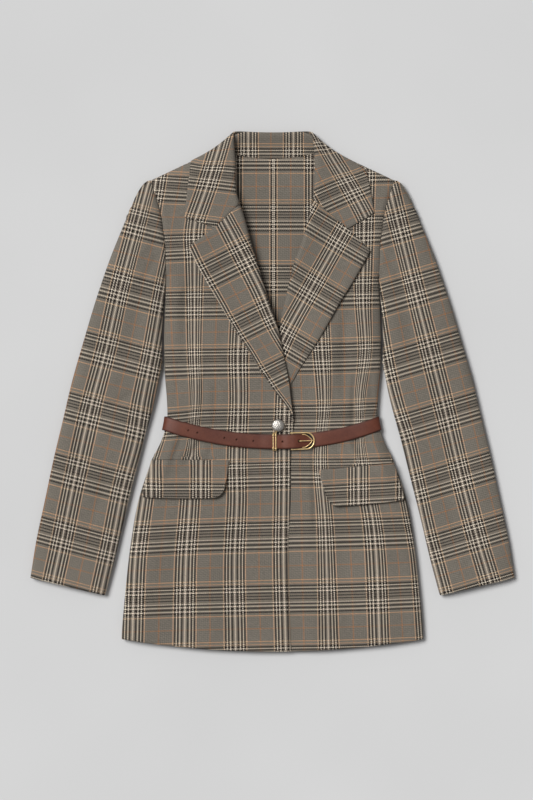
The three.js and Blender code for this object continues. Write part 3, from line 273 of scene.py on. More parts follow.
def body_lift(x, y):
    """How high the fronts lie: lower at the hem, pinched by the belt, creased, and quiet under it."""
    hem = (LIFT - HEM_LIFT) * (1 - ease((y + 392) / 70))
    pinch = 3 * plateau(y - belt_y(x), 14, 48)
    quiet = 1 - plateau(y - belt_y(x), 12, 18)
    small = crease_rise(x, y, SMALL_FOLDS) * quiet + slow_waves(x, y, 1.0) * quiet
    large = crease_rise(x, y, MAIN_FOLDS)
    return LIFT - hem - pinch + large + small - seam_dip(x, y, armhole_line, 2.0, 3.2)


def underlap(x, y):
    """How far the left front dips where the right one and its lapel lie on it."""
    depth = lerp(2.6, 6, ease((y + 62) / 24)) * (1 - ease((y - 92) / 40))
    return depth * (1 - ease((x - right_edge_x(y)) / 60))


def right_face(x, y):
    return face_height(x, y, body_lift(x, y), True)


def left_face(x, y):
    return face_height(x, y, body_lift(x, y) - underlap(x, y), True)


def back_face(x, y):
    on_belt = BELT_BED * plateau(y - back_belt_y(x), 13, 42)
    u = (x - FOLD_END["right"][0]) / (FOLD_END["left"][0] - FOLD_END["right"][0])
    edge = lerp(FOLD_END["right"][1], FOLD_END["left"][1], u) - LEAF_BACK_BOW * 4 * u * (1 - u)
    away = 1 - plateau(y - back_belt_y(x), 13, 20)
    folds = crease_rise(x, y, BACK_FOLDS) * away
    return face_height(x, y, on_belt + NECK_RISE * ease((y - edge + 50) / 30) + folds, False)


def sleeve_face(x, y, up):
    if not up:
        return face_height(x, y, np.maximum(0, 0.5 * crease_rise(x, y, SMALL_FOLDS)), False, True)
    lift = lerp(LIFT, CUFF_LIFT, ease((UNDERARM_Y - y) / 420)) + crease_rise(x, y, MAIN_FOLDS)
    lift = lift + crease_rise(x, y, SMALL_FOLDS) + slow_waves(x, y, 4.0)
    to_head = line_distance(np.abs(x), y, armhole_line)
    head = 1.7 * np.exp(-(((to_head - 8) / 6) ** 2)) * ease((y - 190) / 60)
    return face_height(x, y, lift + head - 2.0 * np.exp(-((to_head / 3.0) ** 2)), True, True)


SIDES["right"]["face"], SIDES["left"]["face"] = right_face, left_face

# %% [markdown]
# ## From a grid to a cloth shell
# Cloth has thickness, so each panel is a closed shell: the face that is seen, a second grid inside it,
# and a rounded rim, which is what a turned and pressed edge looks like. Each corner also carries two
# numbers, counted in repeats of the check, which the cloth's material reads.


# %% Shells
def normals_of(grid):
    du = np.gradient(grid, axis=0)
    dv = np.gradient(grid, axis=1)
    n = np.cross(du, dv)
    return n / np.maximum(np.linalg.norm(n, axis=2, keepdims=True), 1e-9)


def rim_of(rows, cols):
    top = [(0, j) for j in range(cols - 1)]
    right = [(i, cols - 1) for i in range(rows - 1)]
    bottom = [(rows - 1, j) for j in range(cols - 1, 0, -1)]
    left = [(i, 0) for i in range(rows - 1, 0, -1)]
    return np.array(top + right + bottom + left)


def new_piece(name, verts, faces, uvs, material):
    """A smooth mesh object in metres whose loops carry the check's chart."""
    name = name.replace(" ", "_")
    mesh = bpy.data.meshes.new(name)
    mesh.from_pydata((np.asarray(verts) * MM).tolist(), [], [list(f) for f in faces])
    if uvs is not None:
        layer = mesh.uv_layers.new(name="Chart")
        layer.data.foreach_set("uv", np.asarray(uvs, np.float32).ravel())
    mesh.polygons.foreach_set("use_smooth", np.ones(len(mesh.polygons), bool))
    mesh.materials.append(material)
    mesh.validate()
    mesh.update()
    obj = bpy.data.objects.new(name, mesh)
    bpy.context.scene.collection.objects.link(obj)
    return obj


RIM_BULGE = 0.32  # how far a turned edge rounds outwards, in thicknesses


def shell(name, outer, thickness, charts, material, up=True, patches=None):
    """A closed wall on a grid. charts holds one chart of (u, v) per patch of columns."""
    rows, cols = outer.shape[:2]
    normal = normals_of(outer)
    if (normal[..., 2].mean() > 0) != up:
        normal = -normal
    inner = outer - normal * thickness
    rim = rim_of(rows, cols)
    ri, rj = rim.T
    ni, nj = np.clip(ri, 1, rows - 2), np.clip(rj, 1, cols - 2)
    out = outer[ri, rj] - outer[ni, nj]
    out /= np.maximum(np.linalg.norm(out, axis=1, keepdims=True), 1e-9)
    middle = (outer[ri, rj] + inner[ri, rj]) / 2 + out * thickness * RIM_BULGE
    pull = normal[ri, rj] * thickness * 0.2
    outer, inner = outer.copy(), inner.copy()
    outer[ri, rj] -= pull
    inner[ri, rj] += pull
    count = rows * cols
    verts = np.vstack([outer.reshape(-1, 3), inner.reshape(-1, 3), middle])
    i, j = np.meshgrid(np.arange(rows - 1), np.arange(cols - 1), indexing="ij")
    a, b = (i * cols + j).ravel(), (i * cols + j + 1).ravel()
    c, d = ((i + 1) * cols + j + 1).ravel(), ((i + 1) * cols + j).ravel()
    charts = np.asarray(charts, float).reshape(-1, count, 2)
    patch = np.zeros(cols - 1, int) if patches is None else np.asarray(patches)
    of_face = patch[j.ravel()]
    quads = np.stack([a, b, c, d], 1)
    face_uv = charts[of_face[:, None], quads]
    r = ri * cols + rj
    r2 = np.roll(r, -1)
    m = 2 * count + np.arange(len(rim))
    m2 = np.roll(m, -1)
    of_rim = patch[np.clip(np.minimum(rj, np.roll(rj, -1)), 0, cols - 2)]
    rim_uv = np.stack([charts[of_rim, r2], charts[of_rim, r], charts[of_rim, r], charts[of_rim, r2]], 1)
    faces = np.vstack([quads, quads[:, ::-1] + count, np.stack([r2, r, m, m2], 1),
                       np.stack([m2, m, r + count, r2 + count], 1)])
    uvs = np.vstack([face_uv, face_uv[:, ::-1], rim_uv, rim_uv])
    p = verts[faces]
    volume = np.einsum("ij,ij->i", p[:, 0], np.cross(p[:, 1], p[:, 2])).sum()
    volume += np.einsum("ij,ij->i", p[:, 0], np.cross(p[:, 2], p[:, 3])).sum()
    if volume < 0:
        faces, uvs = faces[:, ::-1], uvs[:, ::-1]
    return new_piece(name, verts, faces, uvs, material)


def cloth(piece, node):
    """What every cloth panel does: it joins the root body, and its imported part is hidden."""
    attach(piece, "root")
    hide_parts(node)
    return piece


# %% [markdown]
# ## The check
# A glen check groups its dark and light threads. Across the cloth a group is 34 mm wide and returns
# every 74 mm, and along it a group of 52 mm returns every 90 mm, with one rust thread half way
# between. Each ramp below is one repeat of yarns; the material weaves the two with a 2/2 twill.
# The colours are the yarns' own: near black, warm cream, and the grey brown that fine dark and
# light threads give together.


# %% Colours and the node helpers
def linear(hex_colour):
    """An sRGB hex colour as linear RGBA."""
    parts = [int(hex_colour[k:k + 2], 16) / 255 for k in (1, 3, 5)]
    return tuple(p / 12.92 if p <= 0.04045 else ((p + 0.055) / 1.055) ** 2.4 for p in parts) + (1.0,)


def add(tree, kind, links=None, **settings):
    """Adds a node, sets its values and links its inputs from other sockets."""
    node = tree.nodes.new(kind)
    for name, value in settings.items():
        if name.startswith("in_"):
            key = name[3:]
            node.inputs[int(key) if key.isdigit() else key.replace("_", " ")].default_value = value
        else:
            setattr(node, name, value)
    for key, source in (links or {}).items():
        tree.links.new(source, node.inputs[key])
    return node


def maths(tree, operation, *values):
    """The output of a math node. Each value is a number or another node's output."""
    node = add(tree, "ShaderNodeMath", operation=operation)
    for place, value in enumerate(values):
        if isinstance(value, float):
            node.inputs[place].default_value = value
        else:
            tree.links.new(value, node.inputs[place])
    return node.outputs[0]


def mixed(tree, factor, *colours):
    """The colour between two. Each is a linear colour or another node's output."""
    node = add(tree, "ShaderNodeMix", {0: factor}, data_type="RGBA")
    for place, colour in zip((6, 7), colours):
        if isinstance(colour, tuple):
            node.inputs[place].default_value = colour
        else:
            tree.links.new(colour, node.inputs[place])
    return node.outputs[2]


def scaled(tree, colour, factor):
    return add(tree, "ShaderNodeVectorMath", {0: colour, 3: factor}, operation="SCALE").outputs[0]


def noise(tree, where, scale, detail):
    return add(tree, "ShaderNodeTexNoise", {"Vector": where}, in_Scale=scale, in_Detail=detail).outputs[0]


def new_material(name, **shader):
    material = bpy.data.materials.new(name)
    material.use_nodes = True
    tree = material.node_tree
    tree.nodes.clear()
    surface = add(tree, "ShaderNodeBsdfPrincipled")
    for key, value in shader.items():
        surface.inputs[key.replace("_", " ")].default_value = value
    add(tree, "ShaderNodeOutputMaterial", {"Surface": surface.outputs[0]})
    return material, tree, surface


def fill_ramp(ramp, stops, interpolation="CONSTANT"):
    ramp.interpolation = interpolation
    while len(ramp.elements) > 1:
        ramp.elements.remove(ramp.elements[-1])
    for k, (position, colour) in enumerate(stops):
        element = ramp.elements[0] if k == 0 else ramp.elements.new(position)
        element.position = position
        element.color = colour


# %% The yarns of one repeat
WARP_REPEAT, WEFT_REPEAT = 73.9, 90.0
GROUND, RUST, DARK = "#6f6960", "#966a49", "#0e0c0b"
# Each pair is a yarn's colour on the ground, and where it crosses another group
MID, LIGHT, EDGE = ("#796f65", "#6c6258"), ("#c0b29f", "#ddd0bd"), ("#bd997a", "#caac8c")
# Half a warp repeat from the middle of a group: where each yarn starts in mm, and which it is
WARP_YARNS = [
    (0, LIGHT), (1.1, MID), (3.1, DARK), (5.5, MID), (6.3, LIGHT), (7.7, MID), (8.5, DARK), (11.1, LIGHT),
    (12.5, MID), (12.8, DARK), (15.2, MID), (15.9, EDGE), (17.2, GROUND), (35.9, RUST),
]
# A whole weft repeat, from half way between two groups
WEFT_MID, WEFT_LIGHT, WEFT_EDGE = ("#746b60", "#6b6157"), ("#b9ac9a", "#dacdba"), ("#b28d6c", "#c6a684")
WEFT_YARNS = [
    (0, RUST), (1.0, GROUND), (18.9, WEFT_EDGE), (20.2, GROUND), (22.3, WEFT_MID), (23.3, DARK),
    (25.9, WEFT_MID), (26.8, WEFT_LIGHT), (28.2, WEFT_MID), (29.4, DARK), (32.0, WEFT_MID),
    (33.3, WEFT_LIGHT), (34.6, WEFT_MID), (35.7, DARK), (38.2, WEFT_LIGHT), (39.6, WEFT_MID),
    (43.0, DARK), (44.8, WEFT_MID), (47.2, DARK), (49.0, WEFT_MID), (51.4, DARK), (54.0, WEFT_LIGHT),
    (55.4, WEFT_MID), (56.9, DARK), (59.4, WEFT_LIGHT), (60.7, DARK), (63.5, WEFT_MID), (65.4, WEFT_EDGE),
    (66.7, GROUND), (69.9, WEFT_EDGE), (71.2, GROUND), (89.1, RUST),
]


def yarn_stops(yarns, length, crossed):
    """Ramp stops. Alpha is 0 on the ground and on the single rust thread, and 1 inside a group."""
    stops = []
    for at, colours in yarns:
        alone = colours in (GROUND, RUST)
        shown = colours if isinstance(colours, str) else colours[crossed]
        stops.append((at / length, linear(shown)[:3] + (0.0 if alone else 1.0,)))
    return stops


# %% [markdown]
# ## Worsted wool, woven in a 2/2 twill
# The real cloth is a worsted suiting: matt, with a slight bloom on edges that catch the light, so the
# shader is rough with a little sheen. Its threads are about 0.5 mm apart. They are drawn 0.74 mm
# apart here, as coarse as they need to be for the twill and the dogtooth to show at this size. Where
# two stripe groups cross, like yarns meet, and the cloth shows its dark and its cream at full strength.
# Along the twill run faint slanting ribs, drawn 3.3 mm apart, about twice the real distance.

# %% Worsted wool twill
THREADS_WARP, THREADS_WEFT = 100.0, 120.0   # threads in a repeat
RIBS_WARP, RIBS_WEFT = 12.0, 23.0           # slanting ribs in a repeat
OWN_SHARE = 0.2                             # how much more a stripe shows its own yarns


def worsted_wool(name):
    material, tree, surface = new_material(
        name, Roughness=0.9, Specular_IOR_Level=0.2, Sheen_Weight=0.06, Sheen_Roughness=0.5)
    chart = add(tree, "ShaderNodeUVMap", uv_map="Chart")
    parts = add(tree, "ShaderNodeSeparateXYZ", {0: chart.outputs[0]})
    u, v = parts.outputs[0], parts.outputs[1]
    half_u = maths(tree, "MULTIPLY", maths(tree, "PINGPONG", u, 0.5), 2.0)
    part_v = maths(tree, "FRACT", maths(tree, "ADD", v, 0.5))
    ramps = []
    for place, yarns, length in ((half_u, WARP_YARNS, WARP_REPEAT / 2), (part_v, WEFT_YARNS, WEFT_REPEAT)):
        for crossed in (False, True):
            ramps.append(add(tree, "ShaderNodeValToRGB", {0: place}))
            fill_ramp(ramps[-1].color_ramp, yarn_stops(yarns, length, crossed))
    warp, warp_crossed, weft, weft_crossed = ramps
    in_warp, in_weft = warp.outputs["Alpha"], weft.outputs["Alpha"]
    # fine threads: two dark and two light in turn, where a ramp says ground
    yarn = []
    ways = ((u, THREADS_WARP, warp, warp_crossed, in_warp, in_weft),
            (v, THREADS_WEFT, weft, weft_crossed, in_weft, in_warp))
    for place, threads, plain, crossed, own, other in ways:
        chosen = mixed(tree, other, plain.outputs[0], crossed.outputs[0])
        turn = maths(tree, "FRACT", maths(tree, "MULTIPLY", place, threads / 4))
        spread = maths(tree, "MULTIPLY_ADD", maths(tree, "GREATER_THAN", turn, 0.5), 0.22, -0.11)
        ground = maths(tree, "SUBTRACT", 1.0, own)
        yarn.append(scaled(tree, chosen, maths(tree, "MULTIPLY_ADD", spread, ground, 1.0)))
    across = maths(tree, "MULTIPLY", u, THREADS_WARP / 4)
    twill = maths(tree, "FRACT", maths(tree, "MULTIPLY_ADD", v, THREADS_WEFT / 4, across))
    # a stripe's own yarns cover more of the ground than the other way round
    limit = maths(tree, "MULTIPLY_ADD", maths(tree, "SUBTRACT", in_warp, in_weft), OWN_SHARE, 0.5)
    woven = mixed(tree, maths(tree, "GREATER_THAN", twill, limit), yarn[0], yarn[1])
    # fibres of slightly different tone, a slow unevenness of the finish, and the twill's slanting ribs
    place = add(tree, "ShaderNodeTexCoord").outputs["Object"]
    specks = noise(tree, place, 620.0, 3.0)
    speckle = maths(tree, "MULTIPLY_ADD", specks, 0.9, 0.55)
    drift = maths(tree, "MULTIPLY_ADD", noise(tree, place, 9.0, 2.0), 0.24, 0.88)
    rib = maths(tree, "MULTIPLY_ADD", v, RIBS_WEFT, maths(tree, "MULTIPLY", u, RIBS_WARP))
    slant = maths(tree, "MULTIPLY_ADD", maths(tree, "PINGPONG", rib, 0.5), 0.4, 0.9)
    tone = maths(tree, "MULTIPLY", maths(tree, "MULTIPLY", speckle, slant), drift)
    tree.links.new(scaled(tree, woven, tone), surface.inputs["Base Color"])
    # the threads stand a tenth of a millimetre proud of each other
    relief = maths(tree, "MULTIPLY_ADD", specks, 0.8, maths(tree, "PINGPONG", twill, 0.5))
    bump = add(tree, "ShaderNodeBump", {"Height": relief}, in_Strength=0.55, in_Distance=0.0002)
    tree.links.new(bump.outputs[0], surface.inputs["Normal"])
    return material


wool = worsted_wool("worsted wool, 2/2 twill")
print("wool:", len(wool.node_tree.nodes), "nodes")


# %% [markdown]
# Each table row below says where the middle of one stripe group runs on a panel, in mm. Between two
# groups the chart is interpolated, so the stripes lean and gather with the dart and the side seam as
# they do on the real jacket, although the panel itself is one smooth grid.


# %% Charts
def chart(x, y, warp, weft):
    """Repeats across (u) and along (v) for points of a panel, from its charted group lines."""

    def counted(position, lines, repeat, along):
        index = [k for k, _ in lines]
        at = [curve(rows, straight_on=True)(along) for _, rows in lines]
        value = index[0] + (position - at[0]) / repeat
        for k in range(len(lines) - 1):
            part = index[k] + (position - at[k]) / (at[k + 1] - at[k])
            value = np.where(position > at[k], part, value)
        return np.where(position > at[-1], index[-1] + (position - at[-1]) / repeat, value)

    return np.stack([counted(x, warp, WARP_REPEAT, y), counted(y, weft, WEFT_REPEAT, x)], -1)


RIGHT_WARP = [
    (-2, [(-374, -210.5), (-254, -206), (-164, -194), (-104, -184), (-62, -171), (-14, -176), (91, -188.2),
          (196, -189.8), (316, -174.8), (361, -168.8)]),
    (-1, [(-374, -132), (-254, -129.8), (-164, -123.8), (-74, -121.5), (-14, -115.5), (61, -117),
          (136, -117), (196, -117), (241, -117.8), (316, -102.8)]),
    (0, [(-374, -55.5), (-254, -57), (-164, -53.2), (-104, -54), (-14, -51), (61, -51.8), (316, -33.8)]),
    (1, [(-374, 19.5), (-254, 16.5), (-134, 17.2), (-14, 18.8), (316, 41.2)]),
]
RIGHT_WEFT = [
    (0, [(-214, -317.5), (-109, -314.5), (26, -311.5)]), (1, [(-214, -224), (-109, -219), (26, -215.5)]),
    (2, [(-199, -130), (-109, -127), (26, -123)]), (3, [(-161, -54), (-109, -48.5), (26, -46)]),
    (4, [(-161, 43), (-109, 44), (26, 46)]), (5, [(-161, 130), (-64, 131), (26, 133)]),
    (6, [(-161, 215), (-109, 217.5), (26, 218)]), (7, [(-184, 307), (-109, 302), (26, 301)]),
    (8, [(-184, 391), (26, 386)]),
]
LEFT_WARP = [
    (0, [(-374, 9.8), (-254, 6.8), (-14, 6.8), (316, -3.8)]),
    (1, [(-374, 83.8), (-254, 81), (-194, 78.8), (-104, 72), (-14, 78.8), (76, 73.5), (316, 65.2)]),
    (2, [(-374, 160.5), (-254, 156), (-194, 150.5), (-104, 134.2), (-14, 131), (61, 139.5), (136, 135.8),
         (241, 137.2), (316, 138.8)]),
    (3, [(-374, 231), (-254, 221), (-194, 209.5), (-104, 192), (-62, 182), (-14, 190), (60, 196),
         (136, 203.2), (316, 209.2)]),
]
LEFT_WEFT = [
    (0, [(26, -312), (116, -310), (221, -306)]), (1, [(26, -214), (116, -212), (221, -209)]),
    (2, [(26, -119), (116, -119), (206, -116)]), (3, [(26, -41), (86, -40), (161, -37)]),
    (4, [(26, 49), (86, 50), (161, 53)]), (5, [(26, 148), (161, 151)]), (6, [(26, 239), (161, 244)]),
    (7, [(26, 331), (191, 334)]),
]

# Each dart: the line it lies on as (y, x), and how strongly it draws the stripes together as (y, pull)
DARTS = {
    "right": [([(-391, -124), (-14, -115.5), (61, -117), (364, -117)],
               [(-391, 0), (-150, 0), (-110, 0.1), (-75, 0.6), (-25, 0.55), (60, 0.42), (150, 0.3),
                (230, 0.05), (364, 0)])],
    "left": [([(-391, 84), (-194, 78.8), (-104, 72), (-14, 78.8), (364, 65)],
              [(-391, 0.1), (-250, 0.3), (-150, 0.4), (-100, 0.4), (-70, 0.55), (-44, 0.55), (5, 0.25),
               (60, 0.1), (364, 0)]),
             ([(-391, 160), (-194, 150.5), (-104, 134.2), (-14, 131), (61, 139.5), (136, 135.8),
               (364, 138)],
              [(-391, 0), (-160, 0), (-110, 0.35), (-75, 0.7), (-44, 0.7), (5, 0.5), (100, 0.25),
               (200, 0.05), (364, 0)])],
}

# %% [markdown]
# ## Fronts and backs
# A body panel runs in rows from its centre edge to the side seam, and above the underarm to the
# armhole. The rows sit close together where the cloth rounds over, so the roll is smooth.

# %% Body panels
LEVELS = np.array([(-391.5, -373), (-372, -354), (-330, -312), (-282, -264), (-234, -214), (-190, -168),
                   (-152, -128), (-124, -98), (-104, -77), (-90, -62), (-76.8, -48.8), (-63, -35),
                   (-48, -20), (-32, -2), (-10, 20), (22, 46), (56, 76), (92, 108), (126, 138), (150, 160),
                   (165, UNDERARM_Y)])
HEM_SHARE = [(-391.5, 1), (-372, 0.8), (-330, 0.4), (-282, 0.1), (-234, 0)]
FRONT_WALL, BACK_WALL = 1.9, 1.6
LOW_ROWS, HIGH_ROWS, PANEL_COLUMNS, BEND_COLUMNS = 150, 60, 60, 12
BACK_NECK = [(0, 348.3), (27.6, 349.9), (54, 354.1), (NECK_X, NECK_Y)]
CENTRE_BACK = 1.5
# how much of its group the seam takes on each half, and where a weft group lies and returns
SEAM_TAKES, BACK_WEFT_AT, BACK_WEFT_REPEAT = 11, 261, 91.5


def shares(length, plain, bends=0, start_bends=0, width=SIDE_ROLL):
    """Fractions of a row: close steps where it rounds, even steps between."""
    length = np.asarray(length, float)[..., None]
    room = np.minimum(width, length * 0.45)
    start = room if start_bends else np.zeros_like(length)
    end = room if bends else np.zeros_like(length)
    steps = [lerp(start, length - end, np.linspace(0, 1, plain + 1))]
    if start_bends:
        k = np.arange(start_bends) / start_bends
        steps.insert(0, start * (1 - np.cos(k * np.pi / 2)))
    if bends:
        k = np.arange(1, bends + 1) / bends
        steps.append(length - end + end * np.sin(k * np.pi / 2))
    return np.concatenate(steps, -1) / length


def armhole_rows(count):
    """(x, y, share) along the armhole from the underarm to the shoulder tip."""
    ys = np.linspace(UNDERARM_Y, TIP_Y, 400)
    xs = armhole_x(ys)
    s = np.concatenate([[0], np.cumsum(np.hypot(np.diff(xs), np.diff(ys)))])
    share = np.linspace(0, 1, count)
    y = np.interp(share, s / s[-1], ys)
    return armhole_x(y), y, share


def body_rows(side, centre_x, neck_y):
    t = np.linspace(0, len(LEVELS) - 1, LOW_ROWS)[:-1]
    centre_y = np.interp(t, np.arange(len(LEVELS)), LEVELS[:, 0])
    side_y = np.interp(t, np.arange(len(LEVELS)), LEVELS[:, 1])
    arm_x, arm_y, share = armhole_rows(HIGH_ROWS)
    centre_y = np.concatenate([centre_y, lerp(LEVELS[-1, 0], neck_y, share)])
    xs = np.concatenate([side_x(side_y), arm_x - 0.1])
    ys = np.concatenate([side_y, arm_y])
    top = np.concatenate([np.zeros(len(t)), share])
    return centre_x(centre_y), centre_y, side * xs, ys, top


def hem_y(x):
    return HEM_Y + HEM_RISE * (x / HEM_HALF) ** 2


def back_top(x):
    half = np.abs(x)
    shoulder = lerp(NECK_Y, TIP_Y, (half - NECK_X) / (TIP_X - NECK_X))
    return np.where(half >= NECK_X, shoulder, np.interp(half, *np.array(BACK_NECK).T))


def panel_plan(side, centre_x, neck_y, top_y=None):
    cx, cy, sx, sy, top = (a[:, None] for a in body_rows(side, centre_x, neck_y))
    t = shares(np.hypot(sx - cx, sy - cy)[:, 0], PANEL_COLUMNS, BEND_COLUMNS)
    x, y = lerp(cx, sx, t), lerp(cy, sy, t)
    share = np.interp(cy, *np.array(HEM_SHARE).T)
    y = y + share * (hem_y(x) - lerp(hem_y(cx), hem_y(sx), t))
    if top_y:
        y = y + top ** 2 * (top_y(x) - lerp(top_y(cx), top_y(sx), t))
    return x, y


def front_edge_x(s, y):
    past = np.clip((y - s["gorge_y"]) / (NECK_Y - s["gorge_y"]), 0, 1) ** 0.9
    return np.where(y <= s["gorge_y"], s["edge_x"](y),
                    lerp(s["edge_x"](s["gorge_y"]), s["side"] * NECK_X, past))


def roll_inset(s, y):
    return 4.2 * ease((y + 28) / 40) * (1 - ease((y - s["gorge_y"] - 4) / 34))


def grid_of(x, y, z):
    return np.stack(np.broadcast_arrays(x, y, z), -1)


def drawn_in(key, x, y):
    """Where the darts take up cloth, the stripe groups come out narrower."""
    for centre, pull in DARTS[key]:
        away = x - curve(centre)(y)
        x = x + curve(pull)(y) * away * np.exp(-((away / 22) ** 2))
    return x


def front(key, warp, weft):
    s = SIDES[key]
    x, y = panel_plan(s["side"], lambda cy: front_edge_x(s, cy) + s["side"] * roll_inset(s, cy), NECK_Y)
    edge = np.abs(x - s["edge_x"](y))
    pressed = 0.7 * np.exp(-((edge / 2.2) ** 2)) * (y < -20)
    grid = grid_of(x, y, s["face"](x, y) - pressed)
    piece = shell("front " + key + " cloth", grid, FRONT_WALL, chart(drawn_in(key, x, y), y, warp, weft),
                  wool)
    return cloth(piece, "front_" + key)


front("right", RIGHT_WARP, RIGHT_WEFT)
front("left", LEFT_WARP, LEFT_WEFT)


# %% Backs, joined by a seam down the centre
def back(key, side):
    # the seam takes half a stripe group, so the two halves meet as one narrow group
    x, y = panel_plan(side, lambda cy: np.full_like(cy, CENTRE_BACK + side * 0.05), BACK_NECK[0][1],
                      back_top)
    z = back_face(x, y) + 0.5 * np.exp(-(((x - CENTRE_BACK) / 1.6) ** 2))
    u = (x - CENTRE_BACK + side * SEAM_TAKES) / WARP_REPEAT
    v = (y - BACK_WEFT_AT) / BACK_WEFT_REPEAT
    grid = grid_of(x, y, z)
    piece = shell("back " + key + " cloth", grid, BACK_WALL, np.stack([u, v], -1), wool, up=False)
    return cloth(piece, "back_" + key)


back("right", -1)
back("left", 1)

# %% [markdown]
# ## Sleeves
# Each sleeve is two pieces, a top and an under sleeve, that meet along both edges. The rows start on
# the armhole and end at the cuff. The top piece stands up in a small roll behind the armhole seam,
# which is the ease a tailor shrinks into the sleeve head.

# %% Sleeves
SLEEVE_COLUMNS, SLEEVE_BENDS, SLEEVE_ROWS = 34, 14, 170
SLEEVE_CHARTS = {
    -1: ([(0, [(-292, -331), (-224, -316), (-127, -296), (-29, -274), (68, -248), (151, -229),
               (263, -199)]),
          (1, [(-292, -255), (-224, -240), (-149, -225), (-74, -205), (-14, -195), (61, -180), (151, -164),
               (263, -140)])],
         [(-202, 254), (-230, 155), (-254, 61), (-277, -30), (-299, -122), (-319, -217), (-337, -302)],
         -0.27),
    1: ([(0, [(-284, 326), (-224, 308), (-127, 282), (-34, 260), (61, 236), (158, 211), (256, 187)]),
         (-1, [(-262, 243), (-209, 229), (-134, 213), (-74, 199), (-14, 180), (46, 166), (160, 148),
               (256, 120)])],
        [(187, 248), (209, 152), (234, 55), (257, -37), (278, -126), (304, -218), (325, -301)], 0.3),
}


def sleeve_chart(x, y, side):
    warp, crossings, slope = SLEEVE_CHARTS[side]
    weft = [(-k, [(cx - 100, cy - 100 * slope), (cx + 100, cy + 100 * slope)])
            for k, (cx, cy) in enumerate(crossings)]
    return chart(x, y, sorted(warp, key=lambda row: row[1][0][1]), weft[::-1])


def sleeve_plan(side):
    t0 = np.linspace(0, 1, SLEEVE_ROWS)
    k = (0.6 * t0 + 0.4 * t0 ** 1.6)[:, None]
    outer_y, inner_y = lerp(TIP_Y, CUFF_Y, k), lerp(UNDERARM_Y, INNER_CUFF_Y, k)
    ax, bx = inner_x(inner_y), outer_x(outer_y)
    t = shares(np.hypot(bx - ax, outer_y - inner_y)[:, 0], SLEEVE_COLUMNS, SLEEVE_BENDS, SLEEVE_BENDS)
    seam_t = shares(np.array([152.0]), SLEEVE_COLUMNS, SLEEVE_BENDS, SLEEVE_BENDS)[0]
    arm_x, arm_y, share = armhole_rows(400)
    seam_x, seam_y = np.interp(seam_t, share, arm_x), np.interp(seam_t, share, arm_y)
    head = np.maximum(0, 1 - k / 0.3) ** 2
    x = lerp(ax, bx, t) + head * (seam_x + 0.1 - lerp(UNDERARM_X, TIP_X, t))
    y = lerp(inner_y, outer_y, t) + head * (seam_y - lerp(UNDERARM_Y, TIP_Y, t))
    return side * x, y


def sleeve(key, side, up):
    x, y = sleeve_plan(side)
    grid = grid_of(x, y, sleeve_face(x, y, up))
    name = ("top" if up else "under") + " sleeve " + key
    piece = shell(name + " cloth", grid, FRONT_WALL if up else BACK_WALL, sleeve_chart(x, y, side), wool,
                  up=up)
    return cloth(piece, name.replace(" ", "_"))


for key, side in (("right", -1), ("left", 1)):
    sleeve(key, side, True)
    sleeve(key, side, False)

# %% [markdown]
# ## Lapels
# A lapel is the front's own edge folded back along the roll line. It starts as a round fold, stands a
# few millimetres proud behind it, and comes to rest on the chest, so a soft shadow lies under its
# outer edge. Its stripes run along that edge, because there the facing's straight grain shows.

# %% Lapels
LAPEL_ROWS, LAPEL_COLUMNS, ROLL_STEPS = 110, 44, 12
# the gap to what a turned piece rests on, how deep its fold starts, and how far back it stands proud
REST_GAP, WRAP_DEPTH, PUFF_REACH = 0.4, 1.6, 26


def turned_over(base, d, width, wall, puff, wrap):
    """Height of cloth folded back on a base: round at the roll, proud behind it, then lying down."""
    start = base + lerp(REST_GAP + wall, -WRAP_DEPTH, wrap)
    crest = base + REST_GAP + wall + puff * np.exp(-((d / PUFF_REACH) ** 2))
    return lerp(start, crest, round_over(d, width))


def lines_across(points, slope):
    """Weft lines through points of the main stripe group, all at one slope."""
    reach = 120
    return [(k, [(x - reach, y - reach * slope), (x + reach, y + reach * slope)]) for k, (x, y) in points]


def lines_along(rows, gap):
    """The main stripe group and its neighbours, each a gap further out."""
    return [(k, [(y, x + k * gap) for y, x in rows]) for k in range(-2, 3)]


LAPEL_CHARTS = {
    "right": ([(-1, [(y, x - 7.5) for y, x in lapel_rows["right"]])]
              + [(k, [(y, x + 76 * k) for y, x in [(-45, 90), (-29, 80), (31, 44), (91, 8), (151, -18),
                                                   (226, -56), (263, -76)]])
                 for k in (0, 1)],
              lines_across([(-2, (0, -70)), (-1, (0, 23.5)), (0, (0, 119.5)), (1, (0, 223.7)),
                            (2, (0, 326))], 0.5)),
    "left": (lines_along([(-30, -30), (31, -4), (83, 19), (155, 59), (238, 106), (290, 136)], 76),
             lines_across([(-2, (-20, -5)), (-1, (16, 77)), (0, (58, 155)), (1, (104, 229)),
                           (2, (150, 303))], -0.6)),
}


